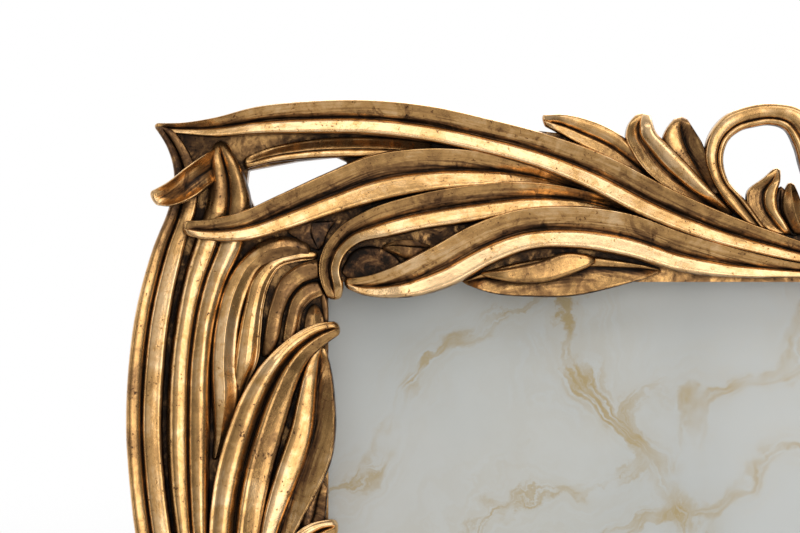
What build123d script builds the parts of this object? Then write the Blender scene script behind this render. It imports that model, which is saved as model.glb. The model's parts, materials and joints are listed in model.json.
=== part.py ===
from build123d import *
import math
import os

os.makedirs("parts", exist_ok=True)

# Sheet and rebate. The sight opening is the sheet less the lip that holds it.
SHEET_WIDTH = 210.0
SHEET_HEIGHT = 297.0
LIP_OVERLAP = 5.0
SHEET_PLAY = 1.0
GLASS_THICKNESS = 2.0
PRINT_THICKNESS = 0.3
CARD_THICKNESS = 1.2
BACKING_THICKNESS = 3.5
LIP_THICKNESS = 5.0
SIGHT_WIDTH = SHEET_WIDTH - 2 * LIP_OVERLAP
SIGHT_HEIGHT = SHEET_HEIGHT - 2 * LIP_OVERLAP
REBATE_WIDTH = LIP_OVERLAP + SHEET_PLAY
REBATE_DEPTH = GLASS_THICKNESS + PRINT_THICKNESS + CARD_THICKNESS + BACKING_THICKNESS
RAIL_THICKNESS = REBATE_DEPTH + LIP_THICKNESS

# Carving. Reach is how far the bands stand out beyond the sight edge.
SIDE_REACH = 40.8
TOP_REACH = 36.8
CROWN_HEIGHT = 6.0
SWEEP_HEIGHT = 5.5
REED_HEIGHT = 5.0
WHORL_HEIGHT = 4.0
CURL_HEIGHT = 6.0
CURL_LEAF_HEIGHT = 5.0
CREST_HEIGHT = 4.5
LEAFLET_HEIGHT = 3.2
SHADE_LEAF_HEIGHT = 3.0
SIGHT_LEAF_HEIGHT = 2.6
SIGHT_LEAFLET_HEIGHT = 2.2
CLASP_HEIGHT = 2.2
TAIL_HEIGHT = 3.4
CROWN_END_HEIGHT = 3.7
LEAF_GAP = 0.3
CROWN_SEAM = 0.2
REED_SEAM = 0.3
STACK_GAP = 0.4
PIERCING_MARGIN = 0.5
SECTION_STEP = 5.0

# Mitre fasteners
VNAIL_ARM = 5.0
VNAIL_STEEL = 0.7
VNAIL_DEPTH = 7.0
VNAIL_PLACES = (0.32, 0.72)

# Turn buttons and their screws
BUTTON_LENGTH = 19.0
BUTTON_WIDTH = 7.0
BUTTON_STEEL = 1.2
BUTTON_REST_GAP = 0.2
BUTTON_EDGE = 3.0
BUTTON_ALONG_TOP = 62.0
BUTTON_ALONG_SIDE = 78.0
SCREW_SHANK = 1.5
SCREW_HEAD = 2.9
SCREW_HEAD_HEIGHT = 1.4
SCREW_DEPTH = 8.0
PIVOT_PLAY = 0.1

# Easel
LEAN = 12.0
STRUT_OPENING = 22.0
HINGE_UP = 20.0
HINGE_STEEL = 0.8
PIN_RADIUS = 1.2
PIN_PLAY = 0.06
KNUCKLE_RADIUS = 2.2
KNUCKLE_GAP = 0.3
HINGE_WIDTH = 36.0
HINGE_PLATE_HEIGHT = 20.0
LEAF_WIDTH = 20.0
LEAF_LENGTH = 22.0
STOP_LENGTH = 6.0
STOP_GAP = 0.15
STRUT_THICKNESS = 4.0
STRUT_TOP_WIDTH = 42.0
STRUT_FOOT_WIDTH = 66.0
STRUT_TOP_GAP = 1.0
STRUT_CORNER = 6.0
FOOT_PAD = 2.0
RIVET_RADIUS = 1.5
RIVET_HEAD = 2.6
RIVET_HEAD_HEIGHT = 0.9
PLATE_RIVET_ACROSS = 13.0
PLATE_RIVET_DOWN = 7.0
LEAF_RIVET_ACROSS = 6.0
LEAF_RIVET_DOWN = 14.0

# Hanger
STRAP_WIDTH = 9.0
STRAP_LENGTH = 22.0
STRAP_STEEL = 0.8
STRAP_DOWN = 26.5
STRAP_RIVET_DOWN = 17.5
RING_WIRE = 1.0
RING_PLAY = 0.08
RING_HALF_WIDTH = 8.0
RING_SIDE = 5.0

# Feet and bumpers
FLOOR_GAP = 0.5
PAD_FLAT_CUT = 3.8
PAD_LENGTH = 26.0
PAD_BACK = 1.0
PAD_DEPTH = 10.0
PAD_FROM_SIGHT_EDGE = 8.4
BUMPER_RADIUS = 5.0
BUMPER_THICKNESS = 1.5
BUMPER_OUT = 12.0
BUMPER_DOWN = 24.0

# The leaves are drawn on one quarter, in mm: u runs to the right from the left
# sight edge and v up from the top sight edge. The crown and the outer reed reach
# the ends of the drawing, and place() stretches it to the sizes above.
CROWN_RUN = (
    (-33.0, 31.8, -32.8, 30.9), (-23.2, 33.2, -23.6, 29.2), (-14.6, 35.4, -14.6, 29.5),
    (-3.6, 36.6, -4.0, 29.6), (8.4, 36.8, 7.6, 29.4), (20.4, 35.6, 18.4, 28.2),
    (32.4, 33.0, 29.6, 26.0), (44.4, 29.8, 40.4, 23.2), (56.4, 25.4, 50.8, 19.0),
    (68.4, 19.2, 63.6, 12.6), (80.4, 13.8, 76.8, 7.8), (91.0, 9.8, 89.6, 4.8),
    (99.8, 6.8, 99.8, 2.9))
OUTER_REED_RUN = (
    (-35.2, 30.6, -33.8, 30.6), (-32.6, 27.0, -29.0, 26.8), (-31.2, 21.4, -26.6, 20.8),
    (-32.0, 15.8, -27.0, 15.4), (-35.4, 6.8, -29.4, 7.0), (-38.8, -5.6, -32.2, -6.0),
    (-40.4, -18.0, -33.6, -18.6), (-40.8, -29.6, -34.0, -29.6), (-40.2, -39.6, -33.4, -39.6),
    (-39.0, -50.2, -32.0, -50.2), (-35.6, -67.6, -28.4, -67.2), (-30.6, -87.6, -24.2, -86.6),
    (-26.6, -107.6, -21.6, -106.6), (-24.4, -127.6, -20.4, -127.2),
    (-23.6, -143.2, -20.0, -143.2))
drawn_half_width = CROWN_RUN[-1][0] + CROWN_SEAM
drawn_half_height = REED_SEAM - OUTER_REED_RUN[-1][1]
drawn_side_reach = -min(row[0] for row in OUTER_REED_RUN)
drawn_top_reach = max(row[1] for row in CROWN_RUN)

FRONT = RAIL_THICKNESS

# How far a band that crosses another one is lifted off the rail
OVER_REED = REED_HEIGHT + STACK_GAP
OVER_CROWN = CROWN_END_HEIGHT + STACK_GAP
OVER_SIGHT_LEAF = SIGHT_LEAF_HEIGHT + STACK_GAP
OVER_TAILS = TAIL_HEIGHT + STACK_GAP


def place(u, v):
    """A drawn point on the bench: centre of the sight at the origin, front up."""
    along = SIGHT_WIDTH / 2 / drawn_half_width if u > 0 else SIDE_REACH / drawn_side_reach
    down = SIGHT_HEIGHT / 2 / drawn_half_height if v < 0 else TOP_REACH / drawn_top_reach
    return (u * along - SIGHT_WIDTH / 2, v * down + SIGHT_HEIGHT / 2)


# Cross sections: (share of the width, share of the height) from edge A to edge B.
# G stands for the groove, which each band puts at its own share of the width.
RIM_LOBE = ((0.0, 0.72), (0.5, 0.66), ("G", 0.45), (0.5, 1.0), (1.0, 0.4))
LOBE_RIM = ((0.0, 0.4), (0.5, 1.0), ("G", 0.45), (0.5, 0.66), (1.0, 0.72))
TWO_LOBES = ((0.0, 0.45), (0.5, 1.0), ("G", 0.55), (0.5, 1.0), (1.0, 0.45))
RIDGE = ((0.0, 0.35), (0.5, 0.78), ("G", 1.0), (0.5, 0.78), (1.0, 0.35))


def across(shape, groove):
    """The cross section with its shares counted over the whole width."""
    first = (0.0, shape[0][1])
    second = (groove * shape[1][0], shape[1][1])
    third = (groove, shape[2][1])
    fourth = (groove + (1 - groove) * shape[3][0], shape[3][1])
    return (first, second, third, fourth, (1.0, shape[4][1]))


def smooth_row(rows, steps, piece, share):
    """A station part way along one piece of the band, on a curve through them all."""
    def slope(i):
        ahead = [(b - a) / steps[i] for a, b in zip(rows[i], rows[i + 1])] if i < len(steps) else None
        behind = [(b - a) / steps[i - 1] for a, b in zip(rows[i - 1], rows[i])] if i else None
        if not (ahead and behind):
            return ahead or behind
        whole = steps[i - 1] + steps[i]
        return [(m * steps[i] + n * steps[i - 1]) / whole for m, n in zip(behind, ahead)]

    near = 1 - share
    lead, trail = slope(piece), slope(piece + 1)
    row = []
    for a, b, m, n in zip(rows[piece], rows[piece + 1], lead, trail):
        bend = share * near * steps[piece] * (m * near - n * share)
        row.append(a * near * near * (1 + 2 * share) + b * share * share * (1 + 2 * near) + bend)
    return row


def respaced(stations):
    """The drawn stations of a band set evenly along it, a few millimetres apart."""
    rows = [list(station) + [0.0] * (5 - len(station)) for station in stations]
    middles = [((row[0] + row[2]) / 2, (row[1] + row[3]) / 2) for row in rows]
    steps = [math.dist(p, q) for p, q in zip(middles, middles[1:])]
    count = max(6, round(sum(steps) / SECTION_STEP))
    even = []
    for k in range(count + 1):
        left = sum(steps) * k / count
        piece = 0
        while piece < len(steps) - 1 and left > steps[piece]:
            left -= steps[piece]
            piece += 1
        even.append(smooth_row(rows, steps, piece, min(left / steps[piece], 1.0)))
    return even


def section(station, shape, height):
    """One closed cross section of a band; its fifth value lifts it off the rail."""
    ax, ay = place(station[0], station[1])
    bx, by = place(station[2], station[3])
    base = FRONT + max(station[4], 0.0)
    width = math.hypot(bx - ax, by - ay)
    inset = min(LEAF_GAP, 0.2 * width) / width
    rise = min(height, 0.75 * width + 0.6)

    def at(share, z):
        share = inset + share * (1 - 2 * inset)
        return (ax + (bx - ax) * share, ay + (by - ay) * share, z)

    top = [at(share, base + rise * level) for share, level in shape]
    foot_a = at(0.0, base)
    foot_b = at(1.0, base)
    sides = [Line(top[-1], foot_b), Line(foot_b, foot_a), Line(foot_a, top[0])]
    return Wire([Spline(*top)] + sides)


def band(shape, groove, height, *stations):
    """A leaf or reed, lofted through its stations (uA, vA, uB, vB, lift)."""
    profile = across(shape, groove)
    return Solid.make_loft([section(station, profile, height) for station in respaced(stations)])


crown = band(RIM_LOBE, 0.5, CROWN_HEIGHT, *CROWN_RUN)
under_reed = band(
    RIDGE, 0.6, WHORL_HEIGHT,
    (-17.2, 24.0, -16.8, 22.8), (-13.2, 25.8, -13.2, 23.8), (-5.6, 27.8, -5.6, 24.8),
    (3.4, 28.6, 3.4, 25.2), (11.0, 28.6, 10.6, 26.0), (18.0, 27.9, 17.8, 26.8))
upper_leaf = band(
    RIM_LOBE, 0.5, SWEEP_HEIGHT,
    (-29.0, 11.2, -28.8, 10.4, OVER_REED), (-24.0, 12.0, -24.0, 8.6, OVER_REED),
    (-17.6, 13.6, -16.6, 8.4, OVER_REED), (-9.6, 17.2, -8.0, 10.6, 0.5 * OVER_REED),
    (-0.6, 21.4, 1.6, 13.8, 0.12 * OVER_REED), (8.8, 25.2, 10.8, 16.4, 0.03 * OVER_REED),
    (19.4, 26.4, 20.0, 18.2), (30.0, 25.4, 29.8, 19.7),
    (40.0, 22.9, 39.2, 20.4), (50.0, 19.0, 49.2, 18.4))
middle_leaf = band(
    RIM_LOBE, 0.5, SWEEP_HEIGHT,
    (0.6, -3.4, 1.8, -3.4), (-1.0, -0.6, 2.8, -1.0), (-1.6, 2.8, 2.2, 2.4),
    (-0.8, 6.4, 3.2, 5.4), (2.0, 10.4, 6.0, 7.8), (8.0, 14.2, 11.4, 9.0),
    (17.4, 17.2, 18.8, 10.6), (28.4, 19.0, 28.2, 12.2), (40.0, 19.6, 38.6, 15.0),
    (50.6, 17.6, 49.6, 15.4), (60.0, 14.1, 59.4, 13.5))
lower_leaf = band(
    RIM_LOBE, 0.5, SWEEP_HEIGHT,
    (3.2, 0.2, 3.4, -1.0), (6.8, 0.8, 6.8, -2.6), (13.4, 3.0, 15.4, -3.2),
    (20.8, 6.8, 24.0, -1.2), (28.8, 11.2, 32.8, 3.4), (37.4, 14.2, 40.4, 6.2),
    (48.4, 15.0, 49.4, 6.6), (60.0, 13.2, 59.4, 5.0), (71.0, 9.2, 70.6, 2.0),
    (83.0, 5.5, 83.0, 0.8), (94.0, 3.3, 94.0, 0.9), (99.8, 2.6, 99.8, 0.8))
sight_leaf = band(
    RIDGE, 0.5, SIGHT_LEAF_HEIGHT,
    (27.0, 0.2, 27.2, -0.4), (33.6, 1.4, 33.4, -2.2), (40.6, 3.4, 40.8, -3.0),
    (49.4, 5.2, 49.4, -2.8), (58.4, 4.0, 58.4, -0.8), (64.4, 2.4, 64.4, 0.6),
    (67.4, 1.6, 67.4, 1.0))
sight_leaflet = band(
    RIDGE, 0.5, SIGHT_LEAFLET_HEIGHT,
    (31.4, 1.6, 31.6, 1.2, OVER_SIGHT_LEAF), (36.0, 2.4, 36.4, 0.0, OVER_SIGHT_LEAF),
    (42.4, 4.0, 43.4, 0.0, OVER_SIGHT_LEAF), (48.4, 5.6, 50.0, 2.0, OVER_SIGHT_LEAF),
    (53.6, 5.2, 54.0, 4.4, OVER_SIGHT_LEAF))
notch_leaf = band(
    RIDGE, 0.5, SIGHT_LEAFLET_HEIGHT,
    (11.0, 7.4, 11.0, 7.0), (14.4, 8.2, 14.4, 6.2), (18.4, 8.4, 18.4, 6.4),
    (21.6, 8.2, 21.6, 7.6))

outer_reed = band(LOBE_RIM, 0.42, REED_HEIGHT, *OUTER_REED_RUN)
inner_reed = band(
    TWO_LOBES, 0.48, REED_HEIGHT,
    (-22.2, 28.2, -21.0, 28.2), (-23.0, 25.4, -19.0, 25.8), (-22.8, 20.8, -17.4, 21.0),
    (-23.6, 14.8, -16.4, 15.0), (-25.6, 8.0, -17.4, 7.6), (-28.4, -0.2, -20.4, 0.2),
    (-29.8, -6.6, -22.4, -6.6), (-31.0, -15.6, -23.4, -15.6), (-31.6, -27.6, -23.6, -27.6),
    (-31.2, -39.6, -23.8, -39.6), (-30.0, -50.2, -24.2, -50.2), (-27.0, -67.6, -23.4, -67.2),
    (-23.4, -86.6, -21.0, -86.2), (-20.8, -106.6, -18.4, -106.0), (-19.6, -127.2, -17.2, -127.0),
    (-19.2, -143.2, -16.8, -143.2))

corner_leaf = band(
    LOBE_RIM, 0.5, WHORL_HEIGHT,
    (-35.6, 17.4, -34.8, 15.8, OVER_REED), (-32.0, 19.6, -31.2, 15.4, OVER_REED),
    (-28.0, 22.8, -26.6, 17.2, OVER_REED), (-24.2, 25.6, -23.8, 20.6, OVER_REED))
fold_leaf = band(
    TWO_LOBES, 0.5, WHORL_HEIGHT,
    (-4.6, 6.6, -4.0, 5.8), (-9.0, 7.8, -8.0, 5.6), (-13.2, 7.0, -11.6, 4.6),
    (-16.4, 3.6, -14.0, 2.8), (-19.4, -1.0, -16.2, -1.6), (-21.6, -7.6, -18.2, -8.0),
    (-22.8, -15.6, -18.8, -15.6), (-22.6, -21.4, -19.0, -22.0), (-22.4, -28.4, -21.6, -28.4))
bright_leaf = band(
    RIDGE, 0.5, WHORL_HEIGHT,
    (-2.6, 5.2, -2.4, 4.8), (-7.0, 5.0, -6.6, 4.0), (-11.0, 3.8, -9.8, 2.8),
    (-14.2, 0.8, -11.8, 0.2), (-16.0, -4.6, -13.0, -4.6), (-17.4, -10.6, -13.8, -10.6),
    (-18.2, -15.2, -14.4, -14.4), (-18.4, -17.8, -17.4, -17.2))
shade_leaf = band(
    RIM_LOBE, 0.5, SHADE_LEAF_HEIGHT,
    (-2.4, 3.8, -2.0, 1.4), (-5.8, 3.2, -4.4, 0.0), (-9.4, 0.4, -6.8, -2.4),
    (-11.4, -4.6, -8.6, -6.0), (-12.6, -9.4, -9.8, -9.8), (-13.2, -13.2, -12.2, -12.8))
brow_leaf = band(
    RIDGE, 0.5, SHADE_LEAF_HEIGHT,
    (-1.2, -1.2, -1.0, -2.0), (-4.0, -2.4, -2.8, -3.4), (-6.2, -5.0, -4.6, -5.6),
    (-7.6, -8.2, -5.6, -8.2), (-8.4, -10.0, -7.4, -9.6))
bract = band(
    RIDGE, 0.5, SIGHT_LEAF_HEIGHT,
    (-3.2, -4.6, -2.6, -4.6), (-3.9, -6.4, -1.4, -6.6), (-4.4, -8.0, -0.8, -7.8))

curl_one = band(
    RIM_LOBE, 0.5, CURL_HEIGHT,
    (1.8, -8.2, 2.4, -10.0), (-2.0, -8.4, 0.0, -11.8), (-7.0, -10.8, -3.4, -14.8),
    (-12.4, -15.6, -5.8, -19.2), (-16.2, -21.0, -7.8, -24.6), (-19.4, -28.2, -10.0, -31.6),
    (-22.0, -36.6, -11.8, -38.6), (-23.6, -47.6, -13.4, -47.6), (-23.2, -59.6, -14.4, -58.6),
    (-21.2, -76.6, -14.8, -75.6), (-18.6, -94.6, -14.6, -93.6), (-16.8, -118.0, -14.0, -118.0),
    (-16.2, -143.2, -13.8, -143.2))
curl_one_leaf = band(
    LOBE_RIM, 0.5, CURL_LEAF_HEIGHT,
    (-1.8, -12.8, -0.6, -13.2), (-3.8, -16.8, 0.6, -17.2), (-5.4, -23.2, 1.4, -23.2),
    (-6.6, -29.2, 1.6, -29.6), (-8.8, -35.6, 0.6, -36.2), (-11.0, -42.6, -2.6, -43.0),
    (-12.6, -48.6, -6.6, -49.0), (-13.4, -54.0, -10.6, -53.4))
curl_two = band(
    RIM_LOBE, 0.5, CURL_HEIGHT,
    (1.6, -47.8, 2.0, -49.8), (-2.6, -48.2, -0.2, -51.6), (-6.6, -50.6, -3.6, -55.0),
    (-10.2, -55.6, -5.4, -60.0), (-12.4, -62.6, -6.6, -66.0), (-13.8, -72.0, -7.8, -74.0),
    (-14.2, -83.6, -9.2, -84.6), (-14.0, -95.0, -10.2, -95.0), (-13.6, -118.0, -11.4, -118.0),
    (-13.4, -143.2, -11.8, -143.2))
curl_two_leaf = band(
    LOBE_RIM, 0.5, CURL_LEAF_HEIGHT,
    (-1.6, -52.8, -0.6, -53.2), (-3.6, -57.0, 0.6, -57.4), (-4.8, -63.0, 1.4, -63.4),
    (-6.0, -70.0, 1.4, -70.4), (-7.4, -78.0, -0.4, -78.6), (-8.8, -85.4, -3.8, -86.0),
    (-9.8, -92.0, -7.6, -91.4))
curl_three = band(
    RIM_LOBE, 0.5, CURL_HEIGHT,
    (1.4, -87.0, 1.8, -88.8), (-2.2, -87.4, -0.2, -90.6), (-5.4, -89.8, -2.8, -93.6),
    (-8.0, -94.8, -4.4, -98.2), (-9.6, -101.6, -5.4, -104.0), (-10.4, -110.0, -6.2, -112.0),
    (-10.8, -121.0, -7.2, -122.0), (-11.2, -132.0, -8.2, -132.0), (-11.4, -143.2, -9.0, -143.2))
curl_three_leaf = band(
    LOBE_RIM, 0.5, CURL_LEAF_HEIGHT,
    (-1.4, -92.0, -0.6, -92.4), (-3.0, -96.0, 0.6, -96.4), (-3.8, -102.0, 1.2, -102.0),
    (-4.6, -110.0, 1.2, -110.0), (-5.6, -120.0, 0.2, -120.0), (-6.6, -132.0, -2.6, -132.0),
    (-7.6, -143.2, -4.6, -143.2))

crest_leaf_low = band(
    RIM_LOBE, 0.55, LEAFLET_HEIGHT,
    (43.0, 33.0, 43.2, 32.0), (46.4, 33.2, 45.6, 30.6), (52.4, 32.0, 50.6, 28.8),
    (58.0, 29.4, 56.2, 26.4), (61.6, 25.9, 60.6, 24.4))
crest_leaf_mid = band(
    RIM_LOBE, 0.45, CREST_HEIGHT,
    (62.6, 33.8, 64.0, 34.0), (60.6, 32.0, 64.4, 32.4), (59.8, 29.2, 65.2, 30.0),
    (61.4, 25.8, 68.0, 27.4), (64.8, 22.6, 71.2, 23.8), (70.4, 19.2, 74.4, 19.8),
    (75.8, 16.6, 77.4, 16.8))
crest_leaf_back = band(
    RIDGE, 0.5, LEAFLET_HEIGHT,
    (70.2, 33.2, 71.2, 33.2), (68.2, 31.0, 72.4, 31.2), (67.6, 28.4, 74.2, 28.0),
    (71.4, 25.0, 74.8, 24.4), (73.6, 22.4, 75.4, 21.6))
crest_scroll = band(
    TWO_LOBES, 0.5, CREST_HEIGHT,
    (83.6, 13.0, 87.0, 11.6), (79.2, 16.6, 84.0, 16.0), (76.2, 20.8, 80.2, 20.4),
    (75.0, 25.4, 79.2, 24.8), (76.0, 29.8, 80.2, 28.2), (79.2, 33.6, 82.6, 30.2),
    (84.0, 35.6, 85.4, 31.0), (88.8, 36.2, 88.4, 31.4), (94.0, 35.4, 91.4, 30.4),
    (98.0, 32.4, 93.2, 27.0), (99.6, 27.4, 94.2, 23.4), (99.8, 21.4, 95.4, 19.4),
    (99.8, 15.4, 96.4, 15.4), (99.8, 10.8, 97.2, 10.8))
crest_leaflet_left = band(
    RIM_LOBE, 0.55, LEAFLET_HEIGHT,
    (89.6, 22.6, 90.6, 22.6), (87.2, 20.8, 90.2, 20.4), (85.0, 17.8, 89.4, 17.6),
    (86.0, 14.6, 89.6, 14.8), (88.4, 12.4, 91.0, 12.4), (90.6, 10.8, 92.2, 10.8))
crest_leaflet_right = band(
    RIDGE, 0.5, LEAFLET_HEIGHT,
    (92.2, 19.8, 93.2, 19.8), (91.2, 17.4, 94.2, 17.2), (91.4, 14.4, 95.2, 14.4),
    (92.8, 11.8, 95.8, 11.8), (94.2, 10.0, 96.4, 10.2))
bud = band(
    RIDGE, 0.5, LEAFLET_HEIGHT,
    (99.5, 13.6, 100.5, 13.6, OVER_CROWN), (97.8, 11.0, 102.2, 11.0, OVER_CROWN),
    (96.8, 7.0, 103.2, 7.0, OVER_CROWN), (97.4, 3.0, 102.6, 3.0, OVER_CROWN),
    (99.2, 0.4, 100.8, 0.4, OVER_CROWN))
clasp = band(
    TWO_LOBES, 0.5, CLASP_HEIGHT,
    (-25.0, -139.5, -25.0, -147.5, 0.7 * OVER_TAILS), (-22.6, -139.0, -22.6, -148.0, OVER_TAILS),
    (-14.0, -138.5, -14.0, -148.5, OVER_TAILS), (-6.0, -139.0, -6.0, -148.0, OVER_TAILS),
    (-3.4, -139.8, -3.4, -147.2, 0.7 * OVER_TAILS))

QUARTER = {
    "crown_band": [crown],
    "sweep_leaves": [under_reed, upper_leaf, middle_leaf, lower_leaf, sight_leaf, sight_leaflet,
                     notch_leaf],
    "side_reeds": [outer_reed, inner_reed],
    "corner_whorl": [corner_leaf, fold_leaf, bright_leaf, shade_leaf, brow_leaf, bract],
    "curl_leaves": [curl_one, curl_one_leaf, curl_two, curl_two_leaf, curl_three, curl_three_leaf],
}
CREST = {
    "crest_scrolls": [crest_scroll],
    "crest_leaves": [crest_leaf_low, crest_leaf_mid, crest_leaf_back],
    "crest_leaflets": [crest_leaflet_left, crest_leaflet_right],
}


def flip(solids, about):
    return [solid.mirror(about) for solid in solids]


nodes = {}
for name, solids in QUARTER.items():
    nodes["top_left_" + name] = solids
    nodes["top_right_" + name] = flip(solids, Plane.YZ)
    nodes["bottom_left_" + name] = flip(solids, Plane.XZ)
    nodes["bottom_right_" + name] = flip(flip(solids, Plane.YZ), Plane.XZ)
for name, solids in CREST.items():
    nodes[name] = solids + flip(solids, Plane.YZ)
nodes["apron_leaves"] = flip(nodes["crest_leaves"], Plane.XZ)
nodes["centre_buds"] = [bud] + flip([bud], Plane.XZ)
nodes["side_clasps"] = [clasp] + flip([clasp], Plane.YZ)

# Rails. Their outline runs a little inside the bands, and under the crest it
# rises to carry the leaves.
CORNER = (-33.4, 29.8)
TOP_OUTLINE = (
    CORNER, (-22.0, 32.0), (-10.0, 35.0), (8.0, 35.6), (26.0, 33.4), (43.0, 30.2), (52.0, 29.0),
    (60.0, 26.0), (68.0, 24.2), (75.6, 20.4), (84.0, 14.6), (92.0, 12.4))
SIDE_OUTLINE = (
    CORNER, (-30.6, 25.0), (-30.2, 19.0), (-32.4, 11.0), (-36.8, -2.0), (-39.2, -17.0),
    (-39.6, -31.0), (-38.0, -49.0), (-34.0, -68.0), (-29.0, -88.0), (-25.2, -108.0), (-23.2, -128.0))
PIERCING = (
    (-15.6, 22.0), (-6.0, 23.8), (1.4, 24.6), (3.2, 23.8), (-5.4, 18.8), (-14.6, 15.6), (-16.0, 18.6))


def mirrored_run(points, about_x):
    """A drawn half outline as bench points, followed by its mirror image."""
    half = [place(u, v) for u, v in points]
    if about_x:
        return half + [(x, -y) for x, y in reversed(half)]
    return half + [(-x, y) for x, y in reversed(half)]


def rail(points, about_x):
    """A rail blank: mitre, curved outline, mitre, sight edge."""
    run = mirrored_run(points, about_x)
    start = place(0.0, 0.0)
    end = (start[0], -start[1]) if about_x else (-start[0], start[1])
    edges = [Line(start, run[0]), Spline(*run), Line(run[-1], end), Line(end, start)]
    return extrude(make_face(edges), RAIL_THICKNESS, dir=(0, 0, 1))


def box(x0, x1, y0, y1, z0, z1):
    return Pos((x0 + x1) / 2, (y0 + y1) / 2, (z0 + z1) / 2) * Box(x1 - x0, y1 - y0, z1 - z0)


def rod(radius, length, x, y, z0):
    """A round bar that stands along the bench's Z from z0."""
    return Pos(x, y, z0) * Cylinder(radius, length, align=(Align.CENTER, Align.CENTER, Align.MIN))


def axle(radius, length, y, z):
    """A round bar along X, centred on the middle of the frame."""
    return Pos(0, y, z) * Rot(0, 90, 0) * Cylinder(radius, length)


rebate_x = SIGHT_WIDTH / 2 + REBATE_WIDTH
rebate_y = SIGHT_HEIGHT / 2 + REBATE_WIDTH
rebate = box(-rebate_x, rebate_x, -rebate_y, rebate_y, 0, REBATE_DEPTH)
piercing_edge = offset(make_face(Polyline(*[place(u, v) for u, v in PIERCING], close=True)),
                       PIERCING_MARGIN)
piercing = extrude(piercing_edge, RAIL_THICKNESS, dir=(0, 0, 1))

top_blank = rail(TOP_OUTLINE, False) - rebate - piercing - piercing.mirror(Plane.YZ)
side_blank = rail(SIDE_OUTLINE, True) - rebate
rails = {
    "rail_top": top_blank,
    "rail_bottom": top_blank.mirror(Plane.XZ),
    "rail_left": side_blank,
    "rail_right": side_blank.mirror(Plane.YZ),
}

# The floor touches the back lower edge of the wedge pads; the carving clears it.
lean = math.radians(LEAN)
carving_low = -(SIGHT_HEIGHT / 2 + TOP_REACH)
floor = (carving_low - FLOOR_GAP) * math.cos(lean) + FRONT * math.sin(lean)


def floor_y(z):
    """The bench Y of the floor at depth z."""
    return (floor - z * math.sin(lean)) / math.cos(lean)


pad_top = carving_low + PAD_FLAT_CUT
pad_x = SIGHT_WIDTH / 2 - PAD_FROM_SIGHT_EDGE
pad_flat = Pos(-pad_x, pad_top + carving_low / 2, FRONT / 2) * Box(4 * PAD_LENGTH, -carving_low, FRONT)
rails["rail_bottom"] -= pad_flat
rails["rail_bottom"] -= pad_flat.mirror(Plane.YZ)
pad_front = PAD_BACK + PAD_DEPTH
pad_face = make_face(Polyline((pad_top, PAD_BACK), (pad_top, pad_front), (floor_y(pad_front), pad_front),
                              (floor_y(PAD_BACK), PAD_BACK), close=True))
pad = extrude(Plane.YZ * pad_face, PAD_LENGTH / 2, both=True)
nodes["base_pads"] = [Pos(-pad_x, 0, 0) * pad, Pos(pad_x, 0, 0) * pad]

# V-nails: each arm crosses into one rail, with its point toward the sight.
corner_x, corner_y = place(*CORNER)
sight_x, sight_y = place(0.0, 0.0)
mitre_angle = math.degrees(math.atan2(corner_y - sight_y, corner_x - sight_x))
arm_out = VNAIL_ARM * math.cos(math.radians(45))
vnail_points = [(0, 0), (arm_out, arm_out), (arm_out + VNAIL_STEEL, arm_out), (1.5 * VNAIL_STEEL, 0),
                (arm_out + VNAIL_STEEL, -arm_out), (arm_out, -arm_out)]
vnail = extrude(make_face(Polyline(*vnail_points, close=True)), VNAIL_DEPTH, dir=(0, 0, 1))
vnails = []
for share in VNAIL_PLACES:
    x = sight_x + (corner_x - sight_x) * share
    y = sight_y + (corner_y - sight_y) * share
    vnails.append(Pos(x, y, 0) * Rot(0, 0, mitre_angle) * vnail)
vnails += flip(vnails, Plane.YZ)
vnails += flip(vnails, Plane.XZ)
nodes["v_nails"] = vnails
for vnail_solid in vnails:
    for name in rails:
        rails[name] -= vnail_solid

# Turn buttons, each on a screw in the rail just outside the rebate.
button_x = rebate_x + BUTTON_EDGE
button_y = rebate_y + BUTTON_EDGE
BUTTONS = {
    "button_top_left": (-BUTTON_ALONG_TOP, button_y, -90),
    "button_top_right": (BUTTON_ALONG_TOP, button_y, -90),
    "button_bottom_left": (-BUTTON_ALONG_TOP, -button_y, 90),
    "button_bottom_right": (BUTTON_ALONG_TOP, -button_y, 90),
    "button_left_upper": (-button_x, BUTTON_ALONG_SIDE, 0),
    "button_left_lower": (-button_x, -BUTTON_ALONG_SIDE, 0),
    "button_right_upper": (button_x, BUTTON_ALONG_SIDE, 180),
    "button_right_lower": (button_x, -BUTTON_ALONG_SIDE, 180),
}
button_reach = BUTTON_LENGTH - BUTTON_WIDTH
button_plan = SlotCenterToCenter(button_reach, BUTTON_WIDTH)
button_plan = Pos(button_reach / 2, 0) * button_plan - Circle(SCREW_SHANK + PIVOT_PLAY)
button = extrude(button_plan, -BUTTON_STEEL, dir=(0, 0, 1))
head_z = -BUTTON_STEEL - 2 * BUTTON_REST_GAP
screws = []
for name, (x, y, turn) in BUTTONS.items():
    nodes[name] = [Pos(x, y, -BUTTON_REST_GAP) * Rot(0, 0, turn) * button]
    shank = rod(SCREW_SHANK, SCREW_DEPTH - head_z, x, y, head_z)
    head = rod(SCREW_HEAD, SCREW_HEAD_HEIGHT, x, y, head_z - SCREW_HEAD_HEIGHT)
    head = chamfer(head.faces().sort_by(Axis.Z)[0].edges(), SCREW_HEAD_HEIGHT / 2)
    slot = box(x - SCREW_HEAD, x + SCREW_HEAD, y - 0.4, y + 0.4,
               head_z - SCREW_HEAD_HEIGHT, head_z - SCREW_HEAD_HEIGHT / 2)
    screws.append(shank + head - slot)
    for rail_name in rails:
        rails[rail_name] -= rod(SCREW_SHANK, SCREW_DEPTH, x, y, 0)
nodes["button_screws"] = screws
nodes.update({name: [solid] for name, solid in rails.items()})

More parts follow.
